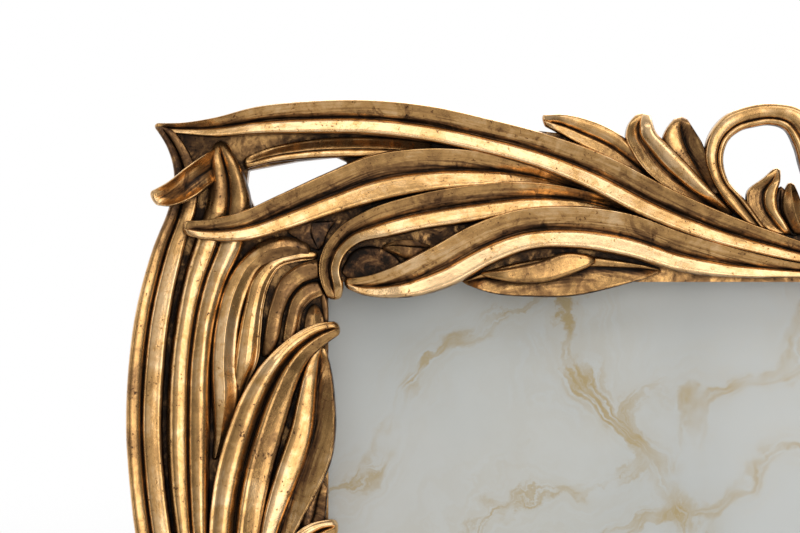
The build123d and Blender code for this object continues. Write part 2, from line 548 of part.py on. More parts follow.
# What lies in the rebate, from the glass at the lip to the backing at the back.
sheet_x = SHEET_WIDTH / 2
sheet_y = SHEET_HEIGHT / 2
card_z = BACKING_THICKNESS
print_z = card_z + CARD_THICKNESS
glass_z = print_z + PRINT_THICKNESS
nodes["glazing"] = [box(-sheet_x, sheet_x, -sheet_y, sheet_y, glass_z, REBATE_DEPTH)]
nodes["print_sheet"] = [box(-sheet_x, sheet_x, -sheet_y, sheet_y, print_z, glass_z)]
nodes["mount_card"] = [box(-sheet_x, sheet_x, -sheet_y, sheet_y, card_z, print_z)]
backing = box(-sheet_x, sheet_x, -sheet_y, sheet_y, 0, BACKING_THICKNESS)

# Easel hinge: a plate on the backing, a leaf on the strut, one pin.
hinge_z = -HINGE_STEEL - KNUCKLE_RADIUS
pin_hole = axle(PIN_RADIUS, HINGE_WIDTH, HINGE_UP, hinge_z)
leaf_knuckle = LEAF_WIDTH - 2 * KNUCKLE_GAP
plate = box(-HINGE_WIDTH / 2, HINGE_WIDTH / 2, HINGE_UP - HINGE_PLATE_HEIGHT / 2,
            HINGE_UP + HINGE_PLATE_HEIGHT / 2, -HINGE_STEEL, 0)
barrel = axle(KNUCKLE_RADIUS, HINGE_WIDTH, HINGE_UP, hinge_z)
barrel += box(-HINGE_WIDTH / 2, HINGE_WIDTH / 2, HINGE_UP - KNUCKLE_RADIUS, HINGE_UP + KNUCKLE_RADIUS,
              hinge_z, -HINGE_STEEL)
barrel -= axle(2 * KNUCKLE_RADIUS, LEAF_WIDTH, HINGE_UP, hinge_z)
nodes["hinge_plate"] = plate + barrel - pin_hole
nodes["hinge_pin"] = [pin_hole]

# The strut is drawn closed against the back, then opened about the pin.
leaf_back = hinge_z - KNUCKLE_RADIUS
strut_front = leaf_back
strut_top = HINGE_UP - KNUCKLE_RADIUS - STRUT_TOP_GAP
leaf_plate = box(-LEAF_WIDTH / 2 + KNUCKLE_GAP, LEAF_WIDTH / 2 - KNUCKLE_GAP,
                 strut_top - LEAF_LENGTH, HINGE_UP, leaf_back, leaf_back + HINGE_STEEL)
strut_low = floor_y(0) - SIGHT_HEIGHT / 4
strut_plan = make_face(Polyline(
    (-STRUT_TOP_WIDTH / 2, strut_top), (STRUT_TOP_WIDTH / 2, strut_top),
    (STRUT_FOOT_WIDTH / 2, floor_y(0)), (STRUT_FOOT_WIDTH / 2, strut_low),
    (-STRUT_FOOT_WIDTH / 2, strut_low), (-STRUT_FOOT_WIDTH / 2, floor_y(0)), close=True))
strut_plan = fillet(strut_plan.vertices().sort_by(Axis.Y)[-2:], STRUT_CORNER)
strut_blank = Pos(0, 0, strut_front) * extrude(strut_plan, -STRUT_THICKNESS, dir=(0, 0, 1))


def opened(solid):
    """Turn a closed strut piece out to its standing angle."""
    pin = Pos(0, HINGE_UP, hinge_z)
    return pin * Rot(STRUT_OPENING, 0, 0) * pin.inverse() * solid


def above_floor(height):
    """Everything higher than this over the floor, as one big block."""
    reach = 4 * (SIGHT_HEIGHT + SIGHT_WIDTH)
    block = Pos(0, reach / 2, 0) * Box(reach, reach, reach)
    return Rot(-LEAN, 0, 0).inverse() * Pos(0, floor + height, 0) * block


leaf_rivets = []
for side in (-1, 1):
    rivet = rod(RIVET_RADIUS, STRUT_THICKNESS + HINGE_STEEL, side * LEAF_RIVET_ACROSS,
                strut_top - LEAF_RIVET_DOWN, strut_front - STRUT_THICKNESS)
    rivet += rod(RIVET_HEAD, RIVET_HEAD_HEIGHT, side * LEAF_RIVET_ACROSS,
                 strut_top - LEAF_RIVET_DOWN, leaf_back + HINGE_STEEL)
    leaf_rivets.append(opened(rivet))
strut_open = opened(strut_blank)
leaf_open = opened(leaf_plate)
for rivet in leaf_rivets:
    strut_open -= rivet
    leaf_open -= rivet
stop = box(-LEAF_WIDTH / 2 + KNUCKLE_GAP, LEAF_WIDTH / 2 - KNUCKLE_GAP, HINGE_UP, HINGE_UP + STOP_LENGTH,
           -HINGE_STEEL - STOP_GAP - HINGE_STEEL, -HINGE_STEEL - STOP_GAP)
leaf_barrel = axle(KNUCKLE_RADIUS - STOP_GAP, leaf_knuckle, HINGE_UP, hinge_z)
leaf_bore = axle(PIN_RADIUS + PIN_PLAY, HINGE_WIDTH, HINGE_UP, hinge_z)
nodes["hinge_leaf"] = leaf_open + stop + leaf_barrel - leaf_bore
nodes["easel_strut"] = strut_open & above_floor(FOOT_PAD)
nodes["strut_foot_pad"] = (opened(strut_blank) & above_floor(0)) - above_floor(FOOT_PAD)
nodes["leaf_rivets"] = leaf_rivets

plate_rivets = []
for x in (-PLATE_RIVET_ACROSS, PLATE_RIVET_ACROSS):
    for y in (-PLATE_RIVET_DOWN, PLATE_RIVET_DOWN):
        rivet = rod(RIVET_RADIUS, BACKING_THICKNESS + HINGE_STEEL, x, HINGE_UP + y, -HINGE_STEEL)
        rivet += rod(RIVET_HEAD, RIVET_HEAD_HEIGHT, x, HINGE_UP + y, -HINGE_STEEL - RIVET_HEAD_HEIGHT)
        plate_rivets.append(rivet)
        nodes["hinge_plate"] -= rivet
        backing -= rivet
nodes["plate_rivets"] = plate_rivets

# Hanger: a riveted strap whose top is rolled round the ring's straight side.
strap_top = sheet_y - STRAP_DOWN
roll_radius = RING_WIRE + RING_PLAY + STRAP_STEEL
roll_z = -roll_radius
strap = box(-STRAP_WIDTH / 2, STRAP_WIDTH / 2, strap_top - STRAP_LENGTH, strap_top, -STRAP_STEEL, 0)
strap += axle(roll_radius, STRAP_WIDTH, strap_top, roll_z)
strap -= axle(RING_WIRE + RING_PLAY, 2 * STRAP_WIDTH, strap_top, roll_z)
rivet_y = strap_top - STRAP_RIVET_DOWN
strap_rivet = rod(RIVET_RADIUS, BACKING_THICKNESS + STRAP_STEEL, 0, rivet_y, -STRAP_STEEL)
strap_rivet += rod(RIVET_HEAD, RIVET_HEAD_HEIGHT, 0, rivet_y, -STRAP_STEEL - RIVET_HEAD_HEIGHT)
backing -= strap_rivet
nodes["hanger_strap"] = strap - strap_rivet
nodes["hanger_rivet"] = [strap_rivet]
nodes["backing_board"] = [backing]

# The ring hangs plumb, so it stands off the leaning back.
low = -RING_SIDE
ring_path = Polyline((-RING_HALF_WIDTH, low), (-RING_HALF_WIDTH, 0), (RING_HALF_WIDTH, 0),
                     (RING_HALF_WIDTH, low))
ring_path = fillet(ring_path.vertices().filter_by(lambda v: abs(v.Y) < 0.1), 2 * RING_WIRE)
ring_path += ThreePointArc((RING_HALF_WIDTH, low), (0, low - RING_HALF_WIDTH), (-RING_HALF_WIDTH, low))
ring_start = Plane((0, 0, 0), x_dir=(0, 1, 0), z_dir=(1, 0, 0))
ring = sweep(ring_start * Circle(RING_WIRE), path=ring_path)
nodes["hanger_ring"] = [Pos(0, strap_top, roll_z) * Rot(LEAN, 0, 0) * ring]

bumper_x = SIGHT_WIDTH / 2 + BUMPER_OUT
bumper_y = SIGHT_HEIGHT / 2 - BUMPER_DOWN
bumper = rod(BUMPER_RADIUS, BUMPER_THICKNESS, 0, 0, -BUMPER_THICKNESS)
nodes["wall_bumpers"] = [Pos(side * bumper_x, bumper_y, 0) * bumper for side in (-1, 1)]

# Stand the bench model up: front to -Y, leaning back, origin under the middle.
stand = Rot(90 - LEAN, 0, 0)
stood = {}
for name, solids in nodes.items():
    if not isinstance(solids, list):
        solids = solids.solids()
    stood[name] = [stand * solid for solid in solids]
extent = Compound([solid for solids in stood.values() for solid in solids]).bounding_box()
middle_y = (extent.min.Y + extent.max.Y) / 2
shift = Pos(0, -middle_y, -extent.min.Z)
for name, solids in stood.items():
    placed = [shift * solid for solid in solids]
    export_step(placed[0] if len(placed) == 1 else Compound(placed), f"parts/{name}.step")
print(len(stood), "nodes, size", extent.size)
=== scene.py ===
import json
import math

import bpy
import numpy as np
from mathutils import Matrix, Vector


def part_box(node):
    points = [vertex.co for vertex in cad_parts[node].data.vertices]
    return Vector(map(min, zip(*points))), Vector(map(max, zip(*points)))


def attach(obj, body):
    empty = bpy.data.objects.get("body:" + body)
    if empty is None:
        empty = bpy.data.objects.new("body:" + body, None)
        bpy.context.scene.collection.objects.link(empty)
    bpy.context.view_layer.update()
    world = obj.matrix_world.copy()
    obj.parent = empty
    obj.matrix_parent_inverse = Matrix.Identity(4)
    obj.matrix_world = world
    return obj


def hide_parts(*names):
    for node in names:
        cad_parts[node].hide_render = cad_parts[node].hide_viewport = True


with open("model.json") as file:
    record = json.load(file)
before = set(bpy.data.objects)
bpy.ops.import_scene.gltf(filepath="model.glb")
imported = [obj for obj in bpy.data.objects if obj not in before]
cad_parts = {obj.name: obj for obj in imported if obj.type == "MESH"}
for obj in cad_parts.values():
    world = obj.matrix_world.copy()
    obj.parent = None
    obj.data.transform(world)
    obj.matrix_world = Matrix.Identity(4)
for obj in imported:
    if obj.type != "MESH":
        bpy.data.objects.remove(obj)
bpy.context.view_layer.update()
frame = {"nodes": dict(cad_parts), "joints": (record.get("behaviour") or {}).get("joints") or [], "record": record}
nodes = frame["nodes"]
scene = bpy.context.scene
scene.view_settings.view_transform = "Standard"

# The frame's own axes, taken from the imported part: the turn buttons swivel about
# the frame's normal, and the glass lies in the middle of the sight.
MM = 0.001
LIP_OVERLAP = 5.0
RAIL_FRONT = 12.0
GLASS_MIDDLE = 6.0
GLASS_THICKNESS = 2.0
across_axis = Vector((1, 0, 0))
normal = next(Vector(j["axis"]) for j in frame["joints"] if j["name"] == "button_top_left_turn")
upward = normal.cross(across_axis)
glass_low, glass_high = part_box("glazing")
sight_centre = (glass_low + glass_high) / 2 - normal * GLASS_MIDDLE * MM
sight_half_width = (glass_high.x - glass_low.x) / 2 / MM - LIP_OVERLAP
glass_reach = (glass_high.z - glass_low.z) / 2 / MM - GLASS_THICKNESS / 2 * abs(normal.z)
sight_half_height = glass_reach / upward.z - LIP_OVERLAP


def bench(x, y, z):
    """A point of the frame's own plane, in mm, as a place in the scene."""
    return sight_centre + (across_axis * x + upward * y + normal * z) * MM


def drawn(u, v, z):
    """A point drawn from the top left sight corner, in mm, as a place in the scene."""
    return bench(u - sight_half_width, v + sight_half_height, z)


# Cross sections. Each half of a band runs from its edge (0) to its groove (1),
# as a smooth curve through points (share of the half, share of the height), and
# its face keeps some of the dark wash. The amounts also paint light: slopes that
# turn down from the top lamp keep more, as painted shade, and lobes that turn up
# to it keep none, burnished leaf that also stands as a painted highlight.
HALF_STEPS = np.array([0, 0.015, 0.035, 0.06, 0.09, 0.13, 0.18, 0.25, 0.34, 0.45, 0.56, 0.66,
                       0.75, 0.83, 0.89, 0.94, 0.975, 1.0])


def eased(places, values, at):
    """A smooth curve through values given at places, read off at the points of at."""
    steps = np.diff(places)
    pitch = np.diff(values, axis=0) / steps[:, None]
    share = (steps[:-1] / (steps[:-1] + steps[1:]))[:, None]
    slopes = np.vstack([pitch[:1], pitch[:-1] * (1 - share) + pitch[1:] * share, pitch[-1:]])
    piece = np.clip(np.searchsorted(places, at, side="right") - 1, 0, len(steps) - 1)
    t = ((at - places[piece]) / steps[piece])[:, None]
    near = 1 - t
    bend = t * near * steps[piece][:, None] * (slopes[piece] * near - slopes[piece + 1] * t)
    return values[piece] * near ** 2 * (1 + 2 * t) + values[piece + 1] * t ** 2 * (1 + 2 * near) + bend


def half(wash_and_painted_light, *points):
    """The heights of one half at HALF_STEPS, with the wash that its face keeps, partly painted shade on faces
    turned from the lamps.
    """
    table = np.array(points)
    return eased(table[:, 0], table[:, 1:], HALF_STEPS)[:, 0], wash_and_painted_light


SLOPE = half(0.14, (0, 0.66), (0.03, 0.87), (0.07, 0.95), (0.12, 0.92), (0.3, 0.86), (0.6, 0.755),
             (0.85, 0.665), (1, 0.60))
FACET = half(0.0, (0, 0.50), (0.03, 0.74), (0.08, 0.91), (0.13, 0.975), (0.2, 1.0), (0.3, 0.985),
             (0.5, 0.935), (0.7, 0.885), (0.86, 0.83), (0.95, 0.73), (1, 0.63))
ROLL = half(0.02, (0, 0.52), (0.03, 0.74), (0.09, 0.89), (0.18, 0.97), (0.3, 1.0), (0.5, 0.98), (0.74, 0.92),
            (0.9, 0.83), (1, 0.66))
FLAT = half(0.1, (0, 0.60), (0.03, 0.84), (0.07, 0.93), (0.12, 0.89), (0.25, 0.88), (0.5, 0.86), (0.75, 0.83),
            (0.9, 0.77), (1, 0.58))
SHOULDER = (ROLL[0], 0.16)
CURL = half(0.06, (0, 0.56), (0.03, 0.78), (0.07, 0.86), (0.12, 0.83), (0.3, 0.875), (0.5, 0.91),
            (0.7, 0.875), (0.84, 0.79), (0.94, 0.67), (1, 0.57))
BROAD = half(0.02, (0, 0.60), (0.03, 0.82), (0.08, 0.88), (0.3, 0.925), (0.6, 0.935), (0.85, 0.89),
             (0.95, 0.80), (1, 0.62))
REED = half(0.04, (0, 0.42), (0.04, 0.64), (0.12, 0.81), (0.25, 0.93), (0.45, 1.0), (0.6, 0.985), (0.8, 0.93),
            (0.92, 0.86), (1, 0.70))
LEAN = half(0.16, (0, 0.46), (0.03, 0.62), (0.1, 0.70), (0.3, 0.78), (0.55, 0.89), (0.72, 0.97),
            (0.8, 1.0), (0.89, 0.86), (0.96, 0.68), (1, 0.57))
DOME = half(0.06, (0, 0.45), (0.04, 0.68), (0.12, 0.82), (0.3, 0.93), (0.6, 0.985), (1, 1.0))
KEEL = half(0.1, (0, 0.40), (0.04, 0.58), (0.1, 0.64), (0.3, 0.70), (0.6, 0.82), (0.85, 0.94), (1, 1.0))
CRIMP = half(0.04, (0, 0.50), (0.05, 0.76), (0.12, 0.82), (0.22, 0.74), (0.34, 0.78), (0.62, 0.94), (1, 1.0))
SCROLL_OUTER = half(0.16, (0, 0.46), (0.03, 0.68), (0.1, 0.86), (0.25, 0.97), (0.45, 1.0), (0.7, 0.97),
                    (0.9, 0.90), (1, 0.80))
SCROLL_INNER = half(0.16, (0, 0.40), (0.06, 0.66), (0.2, 0.82), (0.5, 0.91), (0.8, 0.90), (1, 0.80))
DISH = half(0.06, (0, 0.60), (0.04, 0.92), (0.1, 1.0), (0.18, 0.90), (0.35, 0.72), (0.6, 0.58),
            (0.85, 0.48), (1, 0.42))

# A half that ends higher than this has no groove. Its edge counts as hollow by EDGE_HOLLOW.
NO_GROOVE = 0.9
EDGE_HOLLOW = 0.4


def depth(side):
    """How far each step of a half lies below its ridge, 1 at its groove."""
    ridge = side.argmax()
    if side[-1] > NO_GROOVE:
        return EDGE_HOLLOW * (1 - HALF_STEPS)
    fall = (side[ridge] - side) / (side[ridge] - side[-1])
    fall[:ridge] = 0
    return fall


def band(shape, groove, height, inset, rows, blunt=(0.8, 0.8), tone=(0.0, 0.0)):
    """One band of a carved piece.

    shape: the two halves of its cross section
    groove: the groove's place, as a share of the width
    height, inset: its height and how far its two edges are drawn in, in mm
    rows: stations (uA, vA, uB, vB, lift) along its edges A and B, in mm
    blunt: how far its ends are rounded off, in mm
    tone: how much darker it is made, along the wash colours, at its start and further along
    """
    return shape, groove, height, inset, rows, blunt, tone


# The bands of one quarter, along the lines of the solids. The low leaves in the
# pockets, the edge leaves and the rim at the whorl's sight edge are trim that only
# the scene has, and so is the web between the crest's leaflets.
OVER_REED = 5.4
SNUG = (-0.3, -0.3)
BANDS = {
    "crown_band": [
        # Crown band
        band((SLOPE, FACET), 0.52, 5.6, (0.35, 0.0), [
            (-35.0, 32.2, -34.6, 30.1), (-29.2, 32.3, -29.2, 29.6), (-23.2, 33.2, -23.6, 29.0),
            (-14.6, 35.4, -14.6, 29.4), (-3.6, 36.6, -4.0, 29.6), (8.4, 36.8, 7.6, 29.4),
            (20.4, 35.6, 18.4, 28.2), (32.4, 33.0, 29.6, 26.0),
            (44.4, 29.8, 40.4, 23.2), (56.4, 25.4, 50.8, 19.0),
            (68.4, 19.2, 63.6, 12.6), (80.4, 13.8, 76.8, 7.8), (91.0, 9.8, 89.6, 4.8),
            (100.0, 6.8, 100.0, 2.9)], blunt=(0.8, 0)),
    ],
    "sweep_leaves": [
        # Under reed
        band((KEEL, ROLL), 0.55, 4.0, SNUG, [
            (-17.2, 24.4, -16.8, 22.8), (-13.2, 26.2, -13.2, 23.8), (-5.6, 28.0, -5.6, 24.8),
            (3.4, 28.8, 3.4, 25.2), (12.4, 28.6, 12.0, 25.2), (21.0, 27.6, 20.6, 25.0)]),
        # Upper leaf
        band((SLOPE, FACET), 0.52, 5.5, SNUG, [
            (-29.2, 11.8, -28.7, 9.6, OVER_REED), (-24.0, 12.2, -24.0, 8.6, OVER_REED),
            (-17.6, 13.6, -16.6, 8.4, OVER_REED), (-9.6, 17.2, -8.0, 10.6, 2.6),
            (-0.6, 21.4, 1.6, 13.8, 0.6), (8.8, 25.2, 10.8, 16.4), (19.4, 26.6, 20.0, 18.2, -0.3),
            (30.4, 26.0, 30.0, 19.2, -1.0), (41.4, 23.2, 40.4, 19.6, -1.0), (52.4, 18.8, 51.4, 17.2, -0.6)],
             blunt=(1.3, 0.5)),
        # Middle leaf
        band((SLOPE, FACET), 0.5, 5.5, SNUG, [
            (0.4, -3.6, 2.2, -3.6, 0.6), (-1.0, -0.6, 2.8, -1.0, 0.6), (-1.6, 2.8, 2.2, 2.4, 0.5),
            (-0.8, 6.4, 3.2, 5.4, 0.4), (2.0, 10.4, 6.0, 7.8, 0.2), (8.0, 14.2, 11.4, 9.0),
            (17.4, 17.2, 18.8, 10.6, -0.3), (28.4, 19.2, 28.4, 12.0, -0.6), (40.4, 19.8, 39.4, 14.0, -0.8),
            (52.4, 17.8, 50.8, 14.6, -0.8), (63.4, 13.6, 62.4, 12.4, -0.6)]),
        # Lower leaf
        band((SLOPE, FACET), 0.54, 5.5, (-0.3, 0.0), [
            (3.1, 0.4, 3.4, -1.2, 0.4), (6.8, 0.8, 6.8, -2.6, 0.4), (13.4, 3.0, 15.4, -3.2, 0.3),
            (20.8, 6.8, 24.0, -1.2, 0.2), (28.8, 11.2, 32.8, 3.4, 0.1), (37.4, 14.2, 40.4, 6.2),
            (48.4, 15.0, 49.4, 6.6), (60.0, 13.6, 59.4, 5.0, -0.3), (71.4, 9.6, 70.6, 1.9, -0.5),
            (83.6, 6.0, 83.0, 0.8, -0.5), (94.0, 3.6, 94.0, 0.9), (100.0, 2.8, 100.0, 0.8)],
             blunt=(0.8, 0), tone=(-0.04, -0.08)),
        # Sight leaf
        band((ROLL, SLOPE), 0.3, 2.8, (0.0, 0.0), [
            (27.0, 0.2, 27.2, -0.4), (32.4, 2.4, 32.4, -2.2), (40.4, 4.4, 40.8, -3.0),
            (49.4, 5.4, 49.4, -2.8), (58.4, 4.4, 58.4, -0.8), (64.4, 3.2, 64.4, 1.0), (66.8, 2.6, 66.8, 1.8)],
             tone=(0.2, 0.14)),
        # Its leaflet
        band((DOME, DOME), 0.55, 2.6, (0.0, 0.0), [
            (30.4, 2.0, 30.8, 1.2, 2.2), (36.0, 2.8, 36.4, 0.0, 2.2), (42.4, 4.2, 43.4, 0.0, 2.2),
            (48.0, 6.0, 50.0, 2.0, 2.0), (53.2, 5.4, 54.0, 4.0, 1.6)], tone=(0.14, 0.1)),
        # Notch leaf
        band((FLAT, DOME), 0.36, 3.2, (0.0, 0.0), [
            (10.8, 7.4, 10.8, 6.6), (13.6, 8.3, 13.6, 5.4), (16.6, 8.5, 16.4, 4.2), (21.0, 7.2, 20.6, 6.0)],
             tone=(0.42, 0.42)),
        # Floor of the pocket
        band((DOME, DOME), 0.5, 1.0, (-0.8, -0.8), [
            (2.6, 2.2, 2.8, 1.6), (4.6, 5.0, 5.0, 0.6), (8.2, 6.4, 8.6, 0.6), (11.6, 5.7, 12.0, 1.6),
            (14.6, 4.1, 14.4, 3.2)], tone=(0.66, 0.56)),
        # Leaf in the pocket above the whorl
        band((FLAT, KEEL), 0.5, 1.2, (-0.4, -0.4), [
            (-2.0, 6.2, -1.7, 6.3), (-3.6, 7.3, -1.2, 7.6), (-5.6, 8.6, -0.6, 9.4), (-7.6, 9.9, 0.6, 11.4),
            (-8.2, 11.2, 1.6, 12.6)], tone=(0.36, 0.36)),
    ],
    "side_reeds": [
        # Outer reed
        band((SHOULDER, BROAD), 0.44, 5.0, (0.3, -0.8), [
            (-35.4, 31.6, -32.0, 31.0), (-32.6, 27.0, -29.0, 26.8), (-31.2, 21.4, -26.6, 20.8),
            (-32.0, 15.8, -27.0, 15.4), (-35.4, 6.8, -29.4, 7.0), (-38.8, -5.6, -32.2, -6.0),
            (-40.4, -18.0, -33.6, -18.6), (-40.8, -29.6, -34.0, -29.6), (-40.2, -39.6, -33.4, -39.6),
            (-39.0, -50.2, -32.0, -50.2), (-35.6, -67.6, -28.4, -67.2), (-30.6, -87.6, -24.2, -86.6),
            (-26.6, -107.6, -21.6, -106.6), (-24.4, -127.6, -20.4, -127.2), (-23.6, -143.5, -20.0, -143.5)],
             blunt=(0.9, 0), tone=(0.42, 0.0)),
        # Inner reed
        band((REED, REED), 0.5, 5.0, (-0.8, 0.0), [
            (-22.4, 28.3, -20.6, 28.3), (-23.0, 25.4, -18.8, 25.8), (-22.8, 20.8, -16.6, 21.0),
            (-23.8, 14.8, -15.3, 15.2), (-26.2, 8.0, -16.8, 7.6), (-28.6, -0.2, -20.2, 0.2),
            (-29.8, -6.6, -22.2, -6.6), (-31.0, -15.6, -23.4, -15.6), (-31.6, -27.6, -23.6, -27.6),
            (-31.2, -39.6, -23.8, -39.6), (-30.0, -50.2, -23.8, -50.2), (-27.2, -67.6, -22.8, -67.2),
            (-23.6, -86.6, -20.6, -86.2), (-21.0, -106.6, -18.2, -106.0), (-19.8, -127.2, -17.0, -127.0),
            (-19.4, -143.5, -16.6, -143.5)], blunt=(1.1, 0), tone=(0.12, 0.0)),
    ],
    "corner_whorl": [
        # Corner leaf
        band((DISH, DISH), 0.5, 4.0, SNUG, [
            (-35.7, 17.6, -34.7, 15.6, OVER_REED), (-32.0, 19.6, -31.2, 15.4, OVER_REED),
            (-28.0, 22.8, -26.6, 17.2, OVER_REED), (-24.6, 25.2, -23.8, 19.4, 3.4),
            (-21.8, 27.0, -21.4, 21.6, -1.8)], tone=(-0.14, 0.06)),
        # Outer fold
        band((DOME, KEEL), 0.5, 4.0, (-0.6, -0.4), [
            (-3.6, 7.4, -3.4, 5.6), (-9.0, 8.6, -8.0, 5.4), (-13.2, 7.6, -11.2, 4.4),
            (-17.4, 4.0, -14.0, 2.8), (-20.4, -1.0, -16.2, -1.6), (-22.2, -7.6, -18.0, -8.0),
            (-23.0, -15.6, -18.6, -15.6), (-22.8, -23.0, -18.4, -23.6), (-22.6, -31.0, -20.6, -31.6),
            (-23.2, -36.0, -22.2, -35.6, -0.8)], tone=(0.36, -0.16)),
        # Bright fold
        band((DOME, CRIMP), 0.46, 4.4, (-0.4, -0.3), [
            (-2.0, 5.9, -2.0, 4.8), (-7.0, 5.8, -6.6, 4.2), (-11.6, 4.2, -9.8, 3.0),
            (-14.8, 0.8, -11.6, 0.2), (-16.4, -4.6, -13.0, -4.6), (-17.6, -10.6, -13.6, -10.6),
            (-18.4, -16.6, -14.2, -16.0), (-18.6, -21.4, -16.4, -20.6),
            (-18.9, -25.4, -17.8, -24.8, -0.4), (-19.7, -29.4, -19.2, -29.0, -1.0)]),
        # Shaded fold
        band((DOME, DOME), 0.5, 3.2, (-0.3, 0.0), [
            (-1.6, 4.4, -1.4, 0.9), (-5.8, 3.2, -5.0, -0.3), (-9.4, 0.4, -7.4, -2.8),
            (-11.4, -4.6, -8.8, -6.2), (-12.6, -10.6, -9.8, -11.4), (-13.2, -15.2, -11.2, -15.2)],
             tone=(0.2, 0.28)),
        # Brow
        band((DOME, CRIMP), 0.55, 3.2, SNUG, [
            (-1.4, 0.2, -0.6, -2.2), (-4.8, -0.9, -3.2, -3.4), (-7.0, -3.2, -5.0, -5.4),
            (-8.2, -7.2, -5.8, -8.6), (-9.2, -12.6, -6.8, -12.8)], tone=(0.22, 0.36)),
        # Bract
        band((KEEL, KEEL), 0.5, 2.8, SNUG, [
            (-3.2, -4.4, -2.4, -4.4), (-4.2, -6.8, -1.2, -7.0), (-4.8, -10.6, -0.6, -10.6)],
             tone=(0.04, 0.04)),
        # Rim of the sight edge
        band((DOME, DOME), 0.5, 1.6, (0.0, 0.0), [
            (-1.8, -1.6, -0.5, -1.8), (-1.3, -4.5, 0.0, -4.5), (-1.0, -8.5, 0.1, -8.5)], tone=(0.3, 0.3)),
    ],
    "curl_leaves": [
        # First curl
        band((CURL, LEAN), 0.48, 6.0, (-0.2, -0.3), [
            (2.0, -8.0, 2.6, -10.0), (-2.0, -8.4, 0.0, -11.8), (-7.0, -10.8, -3.4, -14.8),
            (-12.4, -15.6, -5.8, -19.2), (-16.2, -21.0, -7.6, -24.6), (-19.4, -28.2, -9.6, -31.6),
            (-22.0, -36.6, -11.4, -38.6), (-23.6, -47.6, -13.2, -47.6), (-23.4, -59.6, -14.4, -58.6),
            (-21.4, -76.6, -14.8, -75.6), (-18.8, -94.6, -14.6, -93.6), (-17.0, -118.0, -14.0, -118.0),
            (-16.4, -143.5, -13.8, -143.5)], blunt=(1.0, 0)),
        # Its leaf
        band((ROLL, SLOPE), 0.52, 5.0, (-0.5, 0.0), [
            (-1.8, -12.4, -0.6, -12.8), (-4.0, -16.8, 0.6, -17.2), (-5.8, -23.2, 1.4, -23.2),
            (-7.2, -29.2, 1.6, -29.6), (-9.4, -35.6, 0.6, -36.2), (-11.6, -42.6, -2.6, -43.0),
            (-13.2, -50.2, -6.4, -50.2), (-13.8, -57.0, -9.6, -57.0)]),
        # Second curl
        band((CURL, LEAN), 0.48, 6.0, (-0.2, -0.3), [
            (1.8, -47.6, 2.2, -49.8), (-2.8, -48.2, -0.2, -51.6), (-7.0, -50.8, -3.6, -55.0),
            (-10.2, -55.6, -5.4, -60.0), (-12.4, -62.6, -6.6, -66.0), (-13.8, -72.0, -7.8, -74.0),
            (-14.4, -83.6, -9.2, -84.6), (-14.2, -95.0, -10.2, -95.0), (-13.8, -118.0, -11.2, -118.0),
            (-13.6, -143.5, -11.6, -143.5)], blunt=(1.0, 0)),
        # Its leaf
        band((ROLL, SLOPE), 0.52, 5.0, (-0.5, 0.0), [
            (-1.6, -52.4, -0.6, -52.8), (-3.6, -57.0, 0.6, -57.4), (-5.0, -63.0, 1.4, -63.4),
            (-6.4, -70.0, 1.4, -70.4), (-7.8, -78.0, -0.4, -78.6), (-9.2, -85.4, -3.8, -86.0),
            (-10.2, -93.0, -6.6, -93.0)]),
        # Third curl
        band((CURL, LEAN), 0.48, 6.0, (-0.2, -0.3), [
            (1.6, -86.8, 2.0, -88.8), (-2.2, -87.4, -0.2, -90.6), (-5.4, -89.8, -2.8, -93.6),
            (-8.0, -94.8, -4.4, -98.2), (-9.6, -101.6, -5.4, -104.0), (-10.6, -110.0, -6.0, -112.0),
            (-11.0, -121.0, -7.0, -122.0), (-11.4, -132.0, -8.0, -132.0), (-11.6, -143.5, -8.8, -143.5)],
             blunt=(1.0, 0)),
        # Its leaf
        band((ROLL, SLOPE), 0.52, 5.0, (-0.5, 0.0), [
            (-1.4, -91.6, -0.6, -92.0), (-3.0, -96.0, 0.6, -96.4), (-4.0, -102.0, 1.2, -102.0),
            (-5.0, -110.0, 1.2, -110.0), (-6.0, -120.0, 0.2, -120.0), (-7.0, -132.0, -2.6, -132.0),
            (-8.0, -143.5, -4.6, -143.5)], blunt=(0.8, 0)),
    ],
}
EDGE_LEAF = ((-2.4, -39.6, 0.0, -40.6), (-4.2, -43.5, -0.2, -43.5), (-5.2, -47.0, -0.8, -47.5),
             (-5.6, -49.6, -2.6, -50.4))
EDGE_LEAF_PITCH = 39.4
for down in (0.0, EDGE_LEAF_PITCH):
    rows = [(ua, va - down, ub, vb - down) for ua, va, ub, vb in EDGE_LEAF]
    BANDS["curl_leaves"].append(band((ROLL, FLAT), 0.5, 2.0, (0.0, 0.0), rows, tone=(0.42, 0.42)))
